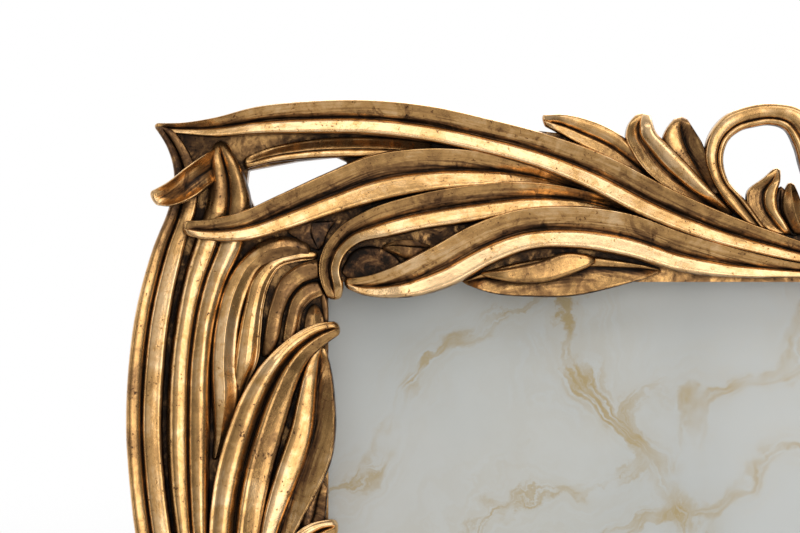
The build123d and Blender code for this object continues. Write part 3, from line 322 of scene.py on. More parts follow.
CREST = {
    "crest_scrolls": [
        # Scroll
        band((SCROLL_OUTER, SCROLL_INNER), 0.68, 4.5, (0.3, 0.0), [
            (82.6, 12.4, 87.8, 10.6), (78.8, 16.4, 84.0, 16.0), (76.2, 20.8, 80.2, 20.4),
            (75.0, 25.4, 79.2, 24.8), (76.0, 29.8, 80.2, 28.2), (79.2, 33.6, 82.6, 30.2),
            (84.0, 35.6, 85.4, 31.0), (88.8, 36.2, 88.4, 31.4), (94.0, 35.4, 91.4, 30.4),
            (98.0, 32.4, 93.2, 27.0), (99.6, 27.4, 94.2, 23.4), (100.0, 21.4, 95.4, 19.4),
            (100.0, 15.4, 96.4, 15.4), (100.0, 9.8, 97.2, 9.8)], blunt=(0, 0)),
    ],
    "crest_leaves": [
        # Low leaf
        band((ROLL, FACET), 0.54, 3.2, SNUG, [
            (42.8, 33.2, 43.2, 31.6), (46.4, 33.4, 45.6, 30.4), (52.4, 32.2, 50.4, 27.6),
            (58.0, 29.6, 56.0, 24.8), (62.4, 25.6, 60.6, 22.0), (65.4, 22.0, 64.4, 19.6)],
             blunt=(0.5, 0.8), tone=(0.1, 0.24)),
        # Middle leaf
        band((SLOPE, ROLL), 0.45, 4.5, SNUG, [
            (62.4, 34.0, 64.2, 34.0), (60.6, 32.0, 64.6, 32.4), (59.8, 29.2, 65.4, 30.0),
            (61.2, 25.8, 68.0, 27.4), (64.0, 22.0, 71.6, 23.8), (69.4, 18.0, 75.4, 19.6),
            (75.0, 15.0, 78.8, 16.0), (79.2, 12.6, 81.4, 13.4, -0.6)]),
        # Back leaf
        band((ROLL, SLOPE), 0.55, 3.2, SNUG, [
            (70.0, 33.2, 71.4, 33.2), (68.2, 31.0, 72.6, 31.2), (67.2, 28.0, 74.6, 28.0),
            (69.6, 24.4, 75.8, 24.4), (72.4, 20.8, 77.0, 20.8), (75.0, 17.4, 78.4, 17.2)],
             tone=(0.24, 0.36)),
    ],
    "crest_leaflets": [
        # Left leaflet
        band((SLOPE, ROLL), 0.55, 3.2, SNUG, [
            (89.8, 22.9, 90.5, 22.8), (87.6, 20.9, 90.4, 20.5), (84.3, 18.3, 89.7, 17.8),
            (84.1, 15.5, 89.8, 15.0), (86.4, 12.2, 91.4, 12.0), (90.2, 9.2, 92.8, 9.4)], blunt=(0.4, 0.8)),
        # Right leaflet
        band((KEEL, KEEL), 0.5, 3.2, SNUG, [
            (92.5, 20.0, 93.2, 19.9), (91.5, 17.6, 94.2, 17.2), (91.4, 14.4, 95.2, 14.4),
            (92.6, 11.6, 96.0, 11.6), (94.0, 9.2, 96.8, 9.4)], blunt=(0.4, 0.8), tone=(0.1, 0.3)),
        # Web between them
        band((FLAT, FLAT), 0.5, 1.4, (0.0, 0.0), [
            (90.4, 19.2, 91.3, 19.2), (89.2, 17.0, 92.0, 17.0), (89.2, 14.0, 92.4, 14.0),
            (91.0, 11.4, 93.6, 11.4), (92.2, 9.2, 95.0, 9.2)], tone=(0.5, 0.5)),
    ],
}
BUD = [band((KEEL, KEEL), 0.5, 3.2, (0.0, 0.0), [
    (99.5, 13.6, 100.5, 13.6, 4.1), (97.8, 11.0, 102.2, 11.0, 4.1), (96.8, 7.0, 103.2, 7.0, 4.1),
    (97.4, 3.0, 102.6, 3.0, 4.1), (99.2, 0.4, 100.8, 0.4, 4.1)])]
CLASP = [band((REED, REED), 0.5, 2.2, (0.0, 0.0), [
    (-25.0, -139.5, -25.0, -147.5, 2.7), (-22.6, -139.0, -22.6, -148.0, 3.8),
    (-14.0, -138.5, -14.0, -148.5, 3.8), (-6.0, -139.0, -6.0, -148.0, 3.8),
    (-3.4, -139.8, -3.4, -147.2, 2.7)])]

# Along a band, in mm: the step between stations, their least number, the steps
# around a rounded end, the least width at its very tip as a share, and the runs
# over which a tip rises and the tone changes.
ALONG_STEP = 0.7
LEAST_STEPS = 14
NOSE_STEPS = 6
TIP_SHARE = 0.006
TIP_RUN = 3.0
TONE_RUN = 30.0

# The marks of a hand tool: wave length, size and phase of each wave, and the most
# that they lower or raise a band, in mm.
WAVES = ((3.1, 1.0, 1.0), (1.7, 0.7, 2.3), (6.3, 0.5, -1.0))
WAVE_DEPTH = 0.12
WAVE_RISE = 0.05
PHASE_STEP = 1.7

# Across a band: a narrow one is lower, and its edges are drawn in by less. Its feet
# are sunk in the rail, and its walls get a row of points part of the way up, so two
# points lie below each edge.
RISE_SHARE, RISE_LEAST = 0.75, 0.6
INSET_SHARE = 0.2
LEAST_WIDTH = 0.02
TIP_DOME = 0.6
FOOT_SUNK = 0.3
WALL_SHARE = 0.78
SIDE_POINTS = 2

# Shares of the width: the worn edge on side A, kept pale partly as a painted highlight, and the flank on side B,
# darkened as painted shade.
WORN_EDGE_HIGHLIGHT_RUN = 0.05
SHADE_FLANK_START, SHADE_FLANK_RUN = 0.92, 0.05
SHADE_FLANK_DARK = 0.85

# How far the flow coordinates of one band are set off from the next.
FLOW_SHIFT = (37.0, 11.0)


def smooth_run(rows, blunt):
    """Stations close together along a band, with its ends rounded off over blunt mm."""
    table = np.array([list(row) + [0.0] * (5 - len(row)) for row in rows])
    middles = (table[:, 0:2] + table[:, 2:4]) / 2
    places = np.concatenate([[0.0], np.cumsum(np.linalg.norm(np.diff(middles, axis=0), axis=1))])
    length = places[-1]
    even = np.linspace(0.0, length, max(LEAST_STEPS, int(length / ALONG_STEP)) + 1)
    nose = 1 - np.cos(np.linspace(0, math.pi / 2, NOSE_STEPS))
    at = np.unique(np.concatenate([even, blunt[0] * nose, length - blunt[1] * nose]).round(4))
    run = eased(places, table, at)
    for away, radius in ((at, blunt[0]), (length - at, blunt[1])):
        if radius:
            left = 1 - np.clip(away / radius, 0, 1)
            share = np.sqrt(np.clip(1 - left ** 2, TIP_SHARE, 1))[:, None]
            middle = (run[:, 0:2] + run[:, 2:4]) / 2
            run[:, 0:2] = middle + (run[:, 0:2] - middle) * share
            run[:, 2:4] = middle + (run[:, 2:4] - middle) * share
    return at, run


def ripple(at, phase):
    """The slight unevenness that a hand tool leaves, as a smooth run around 0."""
    waves = sum(size * np.sin(at / length + turn * phase) for length, size, turn in WAVES)
    return waves / sum(size for _, size, _ in WAVES)


def band_points(spec, seed):
    """Rows of points across a band, with its wear marks and flow coordinates."""
    shape, groove, height, (inset_a, inset_b), rows, blunt, (first, later) = spec
    (side_a, wash_and_painted_light_a), (side_b, wash_and_painted_light_b) = shape
    at, run = smooth_run(rows, blunt)
    phase = PHASE_STEP * seed
    share = np.concatenate([HALF_STEPS * groove, 1 - HALF_STEPS[-2::-1] * (1 - groove)])
    level = np.concatenate([side_a, side_b[-2::-1]])
    a, b = run[:, 0:2], run[:, 2:4]
    width = np.maximum(np.linalg.norm(b - a, axis=1), LEAST_WIDTH)
    rise = np.minimum(height, RISE_SHARE * width + RISE_LEAST)
    most = INSET_SHARE * width
    near = np.clip(np.minimum(inset_a, most), -most, None) / width
    far = np.clip(np.minimum(inset_b, most), -most, None) / width
    spread = near[:, None] + share[None, :] * (1 - near - far)[:, None]
    plan = a[:, None, :] + (b - a)[:, None, :] * spread[:, :, None]
    wobble = WAVE_DEPTH * ripple(at, phase)[:, None] * np.sin(share * math.pi)[None, :]
    base = RAIL_FRONT + run[:, 4]
    full = np.ones_like(at)
    for away, radius in ((at, blunt[0]), (at[-1] - at, blunt[1])):
        if radius:
            full *= np.sin(np.clip(away / TIP_RUN, 0, 1) * math.pi / 2)
    dome = 0.5 + 0.5 * np.sin(share * math.pi) ** TIP_DOME
    section = dome[None, :] + (level - dome)[None, :] * full[:, None]
    top = base[:, None] + rise[:, None] * section + np.minimum(wobble, WAVE_RISE)
    plan = plan[:, [0, 0, *range(len(share)), -1, -1]]
    feet = base[:, None] - FOOT_SUNK
    walls = base[:, None] + WALL_SHARE * (top[:, [0, -1]] - base[:, None])
    top = np.concatenate([feet, walls[:, :1], top, walls[:, 1:], feet], axis=1)
    points = np.concatenate([plan, top[:, :, None]], axis=2)
    share = np.concatenate([[0, 0], share, [1, 1]])
    hollow_wash_and_shade = np.concatenate([depth(side_a), depth(side_b)[-2::-1]])[None, :] * full[:, None]
    # Painted shade: a band's feet and walls count as fully hollow, and the flank of side B darkens too, where the
    # bands meet in the gaps. The depth of the groove itself carries the wash.
    hollow_wash_and_shade = np.pad(hollow_wash_and_shade, ((0, 0), (SIDE_POINTS, SIDE_POINTS)), constant_values=1.0)
    shade_flank = SHADE_FLANK_DARK * np.clip((share - SHADE_FLANK_START) / SHADE_FLANK_RUN, 0, 1)
    hollow_wash_and_shade = np.maximum(hollow_wash_and_shade, shade_flank[None, :] * full[:, None])
    # Painted highlight: the edge of side A stays pale, as worn leaf and as a glint along its rim.
    edge = np.clip(1 - share / WORN_EDGE_HIGHLIGHT_RUN, 0, 1)
    edge[:SIDE_POINTS] = edge[-SIDE_POINTS:] = 0
    edge = np.broadcast_to(edge[None, :], hollow_wash_and_shade.shape)
    tone = (first + (later - first) * np.clip(at / TONE_RUN, 0, 1))[:, None]
    tone = tone + np.where(share < groove, wash_and_painted_light_a, wash_and_painted_light_b)[None, :]
    along = share[None, :] * width[:, None]
    flow = np.stack(np.broadcast_arrays(at[:, None], along), axis=2)
    return points, {"hollow_wash_and_shade": hollow_wash_and_shade, "edge": edge, "tone": tone}, flow


def carve(name, specs, flips):
    """One carved piece: its bands, once for each (flip in x, flip in y), as a closed mesh."""
    verts, faces, flows = [], [], []
    marks = {"hollow_wash_and_shade": [], "edge": [], "tone": []}
    total = 0
    for flip_x, flip_y in flips:
        for seed, spec in enumerate(specs):
            points, wear, flow = band_points(spec, seed + len(name))
            rows, cols = points.shape[:2]
            x = (points[:, :, 0] - sight_half_width) * (-1 if flip_x else 1)
            y = (points[:, :, 1] + sight_half_height) * (-1 if flip_y else 1)
            z = points[:, :, 2]
            world = (np.array(sight_centre) + MM * (x[..., None] * np.array(across_axis)
                     + y[..., None] * np.array(upward) + z[..., None] * np.array(normal)))
            index = total + np.arange(rows * cols).reshape(rows, cols)
            ring = np.concatenate([index, index[:, :1]], axis=1)
            quads = np.stack([ring[:-1, :-1], ring[:-1, 1:], ring[1:, 1:], ring[1:, :-1]], axis=2)
            shown = [list(q) for q in quads.reshape(-1, 4)] + [list(index[0][::-1]), list(index[-1])]
            along = world[1, cols // 2] - world[0, cols // 2]
            sideways = world[0, -1 - SIDE_POINTS] - world[0, SIDE_POINTS]
            if np.dot(np.cross(sideways, along), np.array(normal)) < 0:
                shown = [f[::-1] for f in shown]
            verts.append(world.reshape(-1, 3))
            faces.extend(shown)
            for label, values in wear.items():
                marks[label].append(values.ravel())
            shift = np.array([FLOW_SHIFT[0] * seed + len(name), FLOW_SHIFT[1] * seed])
            flows.append((flow + shift).reshape(-1, 2))
            total += rows * cols
    mesh = bpy.data.meshes.new(name)
    mesh.from_pydata(np.concatenate(verts).tolist(), [], faces)
    mesh.polygons.foreach_set("use_smooth", [True] * len(mesh.polygons))
    for label, values in marks.items():
        layer = mesh.attributes.new(label, "FLOAT", "POINT")
        layer.data.foreach_set("value", np.concatenate(values).astype(np.float32))
    flow_layer = mesh.uv_layers.new(name="flow")
    corner = np.zeros(len(mesh.loops), np.int32)
    mesh.loops.foreach_get("vertex_index", corner)
    flow_layer.data.foreach_set("uv", np.concatenate(flows)[corner].astype(np.float32).ravel())
    piece = bpy.data.objects.new(name, mesh)
    scene.collection.objects.link(piece)
    return piece


# Materials

def new_material(name):
    """A new material, its node tree and its shader."""
    material = bpy.data.materials.new(name)
    material.use_nodes = True
    tree = material.node_tree
    return material, tree, tree.nodes["Principled BSDF"]


def add(tree, kind, **values):
    """A node with its properties and constant inputs set."""
    node = tree.nodes.new(kind)
    for key, value in values.items():
        if key.startswith("in_"):
            node.inputs[int(key[3:])].default_value = value
        else:
            setattr(node, key, value)
    return node


def noise(tree, vector, scale, detail=4.0, roughness=0.55, distortion=0.0):
    """A noise value at the vector."""
    node = add(tree, "ShaderNodeTexNoise")
    node.inputs["Scale"].default_value = scale
    node.inputs["Detail"].default_value = detail
    node.inputs["Roughness"].default_value = roughness
    node.inputs["Distortion"].default_value = distortion
    tree.links.new(vector, node.inputs["Vector"])
    return node.outputs["Fac"]


def stretched(tree, vector, scale):
    """The vector, scaled along its three axes."""
    node = add(tree, "ShaderNodeMapping")
    node.inputs["Scale"].default_value = scale
    tree.links.new(vector, node.inputs["Vector"])
    return node.outputs["Vector"]


def ramp(tree, value, low, high):
    """0 below low and 1 above high, eased between."""
    node = add(tree, "ShaderNodeMapRange", interpolation_type="SMOOTHSTEP")
    node.inputs["From Min"].default_value = low
    node.inputs["From Max"].default_value = high
    tree.links.new(value, node.inputs["Value"])
    return node.outputs["Result"]


def maths(tree, kind, a, b, clamp=False):
    """The result of an operation on two values, each a number or a socket."""
    node = add(tree, "ShaderNodeMath", operation=kind, use_clamp=clamp)
    for socket, value in zip(node.inputs, (a, b)):
        if isinstance(value, (int, float)):
            socket.default_value = value
        else:
            tree.links.new(value, socket)
    return node.outputs[0]


def plus(tree, total, value, weight, clamp=False):
    """The total with the weighted value added."""
    return maths(tree, "ADD", total, maths(tree, "MULTIPLY", value, weight), clamp)


# Sockets of a mix node that belong to colours
MIX_SHARE, MIX_A, MIX_B = 0, 6, 7
MIX_RESULT = 2


def mixed(tree, share, a, b):
    """Colour a going to colour b by share."""
    node = add(tree, "ShaderNodeMix", data_type="RGBA")
    for index, value in ((MIX_SHARE, share), (MIX_A, a), (MIX_B, b)):
        socket = node.inputs[index]
        if isinstance(value, tuple):
            socket.default_value = (*value, 1.0)
        elif isinstance(value, (int, float)):
            socket.default_value = value
        else:
            tree.links.new(value, socket)
    return node.outputs[MIX_RESULT]


def bumped(tree, height, strength, distance):
    """A normal pushed by the height."""
    node = add(tree, "ShaderNodeBump")
    node.inputs["Strength"].default_value = strength
    node.inputs["Distance"].default_value = distance
    tree.links.new(height, node.inputs["Height"])
    return node.outputs["Normal"]


def graded(tree, value, *stops):
    """A colour read off along stops of (place, colour)."""
    node = add(tree, "ShaderNodeValToRGB")
    steps = node.color_ramp.elements
    while len(steps) < len(stops):
        steps.new(0.5)
    for step, (at, colour) in zip(steps, stops):
        step.position = at
        step.color = (*colour, 1.0)
    tree.links.new(value, node.inputs["Fac"])
    return node.outputs["Color"]


def swing(tree, value, amount):
    """A noise value turned into a push up or down around 0."""
    return maths(tree, "MULTIPLY", maths(tree, "SUBTRACT", value, 0.5), amount)


# Gold leaf and wash, from bare leaf to the thickest wash. The darkest stops also serve as painted shade in gaps,
# and the palest as a painted highlight on worn edges.
GOLD_PALE = (0.92, 0.615, 0.325)
GOLD = (0.68, 0.385, 0.14)
BROWN_GOLD = (0.30, 0.157, 0.060)
PATINA = (0.105, 0.048, 0.019)
NEAR_BLACK = (0.010, 0.005, 0.002)
LEAF_STOPS = ((0.0, GOLD_PALE), (0.2, GOLD), (0.42, BROWN_GOLD), (0.66, PATINA), (1.0, NEAR_BLACK))

# Noises of the gilding: scale, detail, roughness and distortion. Those along a band
# read its flow coordinates, stretched.
CLOUD = (55.0, 4.0, 0.6)
PATCH = (260.0, 7.0, 0.72, 0.5)
GRIT = (900.0, 3.0, 0.6)
PITS = (1700.0, 2.0, 0.5)
DENT = (170.0, 2.0, 0.4)
STAIN = (150.0, 6.0, 0.7, 0.8)
STREAK, STREAK_STRETCH = (1.0, 6.0, 0.7), (0.07, 1.5, 1)
FINE, FINE_STRETCH = (1.0, 3.0, 0.6), (0.2, 7.0, 1)

# How far a narrow gap and a wide hollow reach, in m, for the painted shade that darkens them, and how much each
# cause adds to the wash, the painted shade and the painted highlight. A tone over HEAVY_TONE makes the patches
# stronger.
GAP_SHADE_REACH, RECESS_SHADE_REACH = 0.0018, 0.008
HOLLOW_SAMPLES = 6
HEAVY_TONE = 0.18
WASH_AND_PAINTED_LIGHT = {
    "gap_shade": 0.6, "recess_wash_and_shade": 0.36, "recess_wash_and_shade_on_rail": 0.6, "cloud": 0.8, "cloud_on_rail": 0.5, "patch": 0.7,
    "stain": 0.07, "stain_in_hollow": 0.25, "line": 0.46, "smear": 0.38, "streak": 0.34, "heavy": 3.5,
    "fine": 0.07, "edge": -0.28, "specks": 0.34,
}
GROUND_CARVING, GROUND_RAIL = 0.1, 0.29

# Where each cause begins to show, and where it is full.
SHOWS = {
    "gap_shade": (0.35, 1.0), "recess_wash_and_shade": (0.1, 0.9), "recess_wash_and_shade_patch": (0.36, 0.6),
    "line": (0.6, 1.0), "smear": (0.18, 0.95), "smear_streak": (0.45, 0.58),
    "stain": (0.54, 0.66), "stain_in_hollow": (0.05, 0.6),
    "specks": (0.61, 0.69), "specks_patch": (0.46, 0.6), "covered": (0.25, 0.75),
}

# Relief and gloss of the leaf. Wash, and the painted shade with it, takes away from its metal and roughens it.
RELIEF = {"grit": 0.14, "fine": 0.045, "specks": -0.12}
RELIEF_STRENGTH, RELIEF_DEPTH = 0.3, 0.0008
METAL_LOST = 0.6
ROUGH_LEAF, ROUGH_PATCH, ROUGH_WASH = 0.19, 0.13, 0.14
SPECULAR = 0.15
COAT, COAT_ROUGH = 0.05, 0.16

# The backs of the rails and bands, and how far a face has to turn back to be one
WOOD_DARK = (0.16, 0.09, 0.045)
WOOD_LIGHT = (0.30, 0.19, 0.10)
WOOD_STRETCH = (20.0, 400.0, 60.0)
WOOD_GRAIN = (1.0, 4.0, 0.6)
BACK_TURN = (0.6, 0.8)


def shaded(tree, distance):
    """How closed in a place is, 0 to 1, within the distance."""
    node = add(tree, "ShaderNodeAmbientOcclusion", samples=HOLLOW_SAMPLES)
    node.inputs["Distance"].default_value = distance
    return maths(tree, "SUBTRACT", 1.0, node.outputs["AO"])


def antique(tree, shader, marks, ground):
    """Gold leaf with a dark wash that stays in the hollows, darkened further by painted shade in gaps and recesses
    and lightened by a painted highlight on worn edges. ground adds to the wash.
    """
    link = tree.links.new
    place = add(tree, "ShaderNodeTexCoord").outputs["Object"]
    cloud = noise(tree, place, *CLOUD)
    patch = noise(tree, place, *PATCH)
    grit = noise(tree, place, *GRIT)
    pits = noise(tree, place, *PITS)
    # Painted shade: places closed in by nearby bands darken, narrow gaps fully and wider recesses in patches,
    # along with the wash caught there.
    gap_shade = ramp(tree, shaded(tree, GAP_SHADE_REACH), *SHOWS["gap_shade"])
    recess_wash_and_shade = ramp(tree, shaded(tree, RECESS_SHADE_REACH), *SHOWS["recess_wash_and_shade"])
    recess_wash_and_shade = maths(tree, "MULTIPLY", recess_wash_and_shade, ramp(tree, patch, *SHOWS["recess_wash_and_shade_patch"]))
    wash_and_painted_light = plus(tree, ground, gap_shade, WASH_AND_PAINTED_LIGHT["gap_shade"])
    wash_and_painted_light = plus(tree, wash_and_painted_light, recess_wash_and_shade, WASH_AND_PAINTED_LIGHT["recess_wash_and_shade" if marks else "recess_wash_and_shade_on_rail"])
    wash_and_painted_light = maths(tree, "ADD", wash_and_painted_light, swing(tree, cloud, WASH_AND_PAINTED_LIGHT["cloud" if marks else "cloud_on_rail"]))
    wash_and_painted_light = maths(tree, "ADD", wash_and_painted_light, swing(tree, patch, WASH_AND_PAINTED_LIGHT["patch"]))
    relief = plus(tree, noise(tree, place, *DENT), grit, RELIEF["grit"])
    if marks:
        flow = add(tree, "ShaderNodeUVMap", uv_map="flow").outputs["UV"]
        hollow_wash_and_shade = add(tree, "ShaderNodeAttribute", attribute_name="hollow_wash_and_shade").outputs["Fac"]
        edge = add(tree, "ShaderNodeAttribute", attribute_name="edge").outputs["Fac"]
        tone = add(tree, "ShaderNodeAttribute", attribute_name="tone").outputs["Fac"]
        heavy = maths(tree, "MAXIMUM", maths(tree, "SUBTRACT", tone, HEAVY_TONE), 0.0)
        streak = noise(tree, stretched(tree, flow, STREAK_STRETCH), *STREAK)
        fine = noise(tree, stretched(tree, flow, FINE_STRETCH), *FINE)
        line = ramp(tree, hollow_wash_and_shade, *SHOWS["line"])
        smear = maths(tree, "MULTIPLY", ramp(tree, hollow_wash_and_shade, *SHOWS["smear"]),
                      ramp(tree, streak, *SHOWS["smear_streak"]))
        stain = ramp(tree, noise(tree, place, *STAIN), *SHOWS["stain"])
        sunk = ramp(tree, hollow_wash_and_shade, *SHOWS["stain_in_hollow"])
        wash_and_painted_light = plus(tree, wash_and_painted_light, stain, plus(tree, WASH_AND_PAINTED_LIGHT["stain"], sunk, WASH_AND_PAINTED_LIGHT["stain_in_hollow"]))
        wash_and_painted_light = plus(tree, wash_and_painted_light, line, WASH_AND_PAINTED_LIGHT["line"])
        wash_and_painted_light = plus(tree, wash_and_painted_light, smear, WASH_AND_PAINTED_LIGHT["smear"])
        wash_and_painted_light = maths(tree, "ADD", wash_and_painted_light, maths(tree, "ADD", tone, swing(tree, streak, WASH_AND_PAINTED_LIGHT["streak"])))
        wash_and_painted_light = plus(tree, wash_and_painted_light, swing(tree, patch, WASH_AND_PAINTED_LIGHT["heavy"]), heavy)
        wash_and_painted_light = maths(tree, "ADD", wash_and_painted_light, swing(tree, fine, WASH_AND_PAINTED_LIGHT["fine"]))
        # Painted highlight along the worn edge of side A.
        wash_and_painted_light = plus(tree, wash_and_painted_light, edge, WASH_AND_PAINTED_LIGHT["edge"])
        relief = plus(tree, relief, fine, RELIEF["fine"])
    specks = maths(tree, "MULTIPLY", ramp(tree, pits, *SHOWS["specks"]),
                   ramp(tree, patch, *SHOWS["specks_patch"]))
    wash_and_painted_light = plus(tree, wash_and_painted_light, specks, WASH_AND_PAINTED_LIGHT["specks"], True)
    link(graded(tree, wash_and_painted_light, *LEAF_STOPS), shader.inputs["Base Color"])
    covered = ramp(tree, wash_and_painted_light, *SHOWS["covered"])
    link(plus(tree, 1.0, covered, -METAL_LOST), shader.inputs["Metallic"])
    rough = plus(tree, ROUGH_LEAF, patch, ROUGH_PATCH)
    link(plus(tree, rough, covered, ROUGH_WASH), shader.inputs["Roughness"])
    shader.inputs["Specular IOR Level"].default_value = SPECULAR
    shader.inputs["Coat Weight"].default_value = COAT
    shader.inputs["Coat Roughness"].default_value = COAT_ROUGH
    relief = plus(tree, relief, specks, RELIEF["specks"])
    return bumped(tree, relief, RELIEF_STRENGTH, RELIEF_DEPTH)


def leafed(name, marks, ground):
    """Antique leaf on every side but the back, which is plain toned wood."""
    material, tree, shader = new_material(name)
    link = tree.links.new
    relief = antique(tree, shader, marks, ground)
    front = shader.inputs["Base Color"].links[0].from_socket
    metal = shader.inputs["Metallic"].links[0].from_socket
    place = add(tree, "ShaderNodeTexCoord").outputs["Object"]
    grain = noise(tree, stretched(tree, place, WOOD_STRETCH), *WOOD_GRAIN)
    facing = add(tree, "ShaderNodeVectorMath", operation="DOT_PRODUCT")
    link(add(tree, "ShaderNodeNewGeometry").outputs["True Normal"], facing.inputs[0])
    facing.inputs[1].default_value = -normal
    behind = ramp(tree, facing.outputs["Value"], *BACK_TURN)
    back = mixed(tree, grain, WOOD_DARK, WOOD_LIGHT)
    link(mixed(tree, behind, front, back), shader.inputs["Base Color"])
    ahead = maths(tree, "SUBTRACT", 1.0, behind)
    link(maths(tree, "MULTIPLY", ahead, metal), shader.inputs["Metallic"])
    link(relief, shader.inputs["Normal"])
    return material


# Veins of the sheet: a point on it (mm from the sight centre), slope in degrees,
# thickness in mm, and how strong the colour is.
VEINS = ((-40, 114, 112, 6.0, 1.0), (-82, 118, 38, 4.0, 0.9), (-18, 122, 52, 4.6, 1.0),
         (-70, 98, 24, 3.4, 0.9), (-30, 100, 14, 2.8, 0.8), (30, 80, 100, 3.6, 1.0),
         (70, 40, 55, 2.6, 0.9), (-60, 20, 70, 3.8, 1.0), (0, -20, 28, 2.2, 0.8),
         (60, -60, 112, 3.4, 1.0), (-50, -90, 48, 2.8, 0.9), (20, -115, 16, 2.0, 0.7))
PAPER_COOL = (0.60, 0.605, 0.59)
PAPER_WARM = (0.66, 0.655, 0.625)
OCHRE = (0.49, 0.355, 0.155)
OCHRE_SHARE = 0.95

# Veins wander off their line by these amounts, in m. They are thinner where the
# sheet took less colour, have a faint haze beside them, and fade out at their ends.
WANDER, JITTER = 0.045, 0.009
THIN_SHARE = 0.25
HAZE_REACH, HAZE = 3.5, 0.2
VEIN_FADE = (0.030, 0.055)
DRY_ALONG, DRY_ACROSS = 90.0, 700.0
PAPER_ROUGH = 0.6

# Noises of the sheet: scale, detail and roughness, and between which of its values
# the colour goes from none to full
CLOUDING, CLOUDING_SPAN = (16.0, 6.0, 0.55), (0.35, 0.7)
WANDER_NOISE = (26.0, 3.0, 0.5)
JITTER_NOISE = (130.0, 5.0, 0.65)
BODY, BODY_SPAN = (62.0, 3.0, 0.6), (0.36, 0.66)
GATE, GATE_SPAN = (34.0, 4.0, 0.6), (0.34, 0.52)
DRY, DRY_SPAN = (1.0, 4.0, 0.6), (0.30, 0.62)
VEIN_SPAN = (0.2, 1.0)


def marbled_paper():
    """A matt sheet with soft grey clouding and broken ochre veins."""
    material, tree, shader = new_material("paper")
    link = tree.links.new
    place = add(tree, "ShaderNodeTexCoord").outputs["Object"]

    def measure(axis):
        dot = add(tree, "ShaderNodeVectorMath", operation="DOT_PRODUCT", in_1=axis)
        link(place, dot.inputs[0])
        return maths(tree, "SUBTRACT", dot.outputs["Value"], sight_centre.dot(axis))

    right, up = measure(across_axis), measure(upward)
    cloud = noise(tree, place, *CLOUDING)
    wander = noise(tree, place, *WANDER_NOISE)
    jitter = noise(tree, place, *JITTER_NOISE)
    body = ramp(tree, noise(tree, place, *BODY), *BODY_SPAN)
    gate = ramp(tree, noise(tree, place, *GATE), *GATE_SPAN)
    push = maths(tree, "ADD", swing(tree, wander, WANDER), swing(tree, jitter, JITTER))
    veins = 0.0
    for x, y, slope, thickness, strength in VEINS:
        lean = math.radians(slope)
        run_x, run_y = maths(tree, "SUBTRACT", right, x * MM), maths(tree, "SUBTRACT", up, y * MM)
        along = maths(tree, "ADD", maths(tree, "MULTIPLY", run_x, math.cos(lean)),
                      maths(tree, "MULTIPLY", run_y, math.sin(lean)))
        off = maths(tree, "SUBTRACT", maths(tree, "MULTIPLY", run_y, math.cos(lean)),
                    maths(tree, "MULTIPLY", run_x, math.sin(lean)))
        off = maths(tree, "ABSOLUTE", maths(tree, "ADD", off, push), 0.0)
        grain = add(tree, "ShaderNodeCombineXYZ", in_2=slope)
        link(maths(tree, "MULTIPLY", along, DRY_ALONG), grain.inputs[0])
        link(maths(tree, "MULTIPLY", off, DRY_ACROSS), grain.inputs[1])
        dry = ramp(tree, noise(tree, grain.outputs[0], *DRY), *DRY_SPAN)
        reach = plus(tree, THIN_SHARE * thickness * MM, body, thickness * MM)
        line = maths(tree, "SUBTRACT", 1.0, ramp(tree, maths(tree, "DIVIDE", off, reach), *VEIN_SPAN))
        haze = maths(tree, "SUBTRACT", 1.0, ramp(tree, off, 0.0, HAZE_REACH * thickness * MM))
        shown = maths(tree, "MULTIPLY", maths(tree, "MULTIPLY", line, dry), strength)
        faint = maths(tree, "MULTIPLY", maths(tree, "MULTIPLY", haze, dry), HAZE)
        shown = maths(tree, "MAXIMUM", shown, faint)
        ends = maths(tree, "SUBTRACT", 1.0, ramp(tree, maths(tree, "ABSOLUTE", along, 0.0), *VEIN_FADE))
        veins = maths(tree, "MAXIMUM", veins, maths(tree, "MULTIPLY", shown, ends))
    veins = maths(tree, "MULTIPLY", veins, gate)
    ground = mixed(tree, ramp(tree, cloud, *CLOUDING_SPAN), PAPER_COOL, PAPER_WARM)
    share = maths(tree, "MULTIPLY", veins, OCHRE_SHARE)
    link(mixed(tree, share, ground, OCHRE), shader.inputs["Base Color"])
    shader.inputs["Roughness"].default_value = PAPER_ROUGH
    return material


WHITE = (1.0, 1.0, 1.0)
GLASS_TINT = (0.97, 0.985, 0.975)
GLASS_SHEEN, GLASS_HAZE = 0.03, 0.12
GLASS_NOISE = (12.0, 3.0, 0.5)


def clear_glass():
    """Thin picture glass: nearly all of the light goes straight through."""
    material, tree, shader = new_material("glass")
    place = add(tree, "ShaderNodeTexCoord").outputs["Object"]
    clear = add(tree, "ShaderNodeBsdfTransparent")
    sheen = add(tree, "ShaderNodeBsdfGlossy")
    both = add(tree, "ShaderNodeMixShader")
    both.inputs[0].default_value = GLASS_SHEEN
    haze = noise(tree, place, *GLASS_NOISE)
    tree.links.new(maths(tree, "MULTIPLY", haze, GLASS_HAZE), sheen.inputs["Roughness"])
    tree.links.new(mixed(tree, haze, GLASS_TINT, WHITE), clear.inputs["Color"])
    tree.links.new(clear.outputs[0], both.inputs[1])
    tree.links.new(sheen.outputs[0], both.inputs[2])
    tree.links.new(both.outputs[0], tree.nodes["Material Output"].inputs["Surface"])
    tree.nodes.remove(shader)
    return material


ROUGH_SPREAD = 0.16
PLAIN_DEPTH = 0.0003
PLAIN_NOISE, PLAIN_SPAN = (6.0, 0.6), (0.3, 0.7)


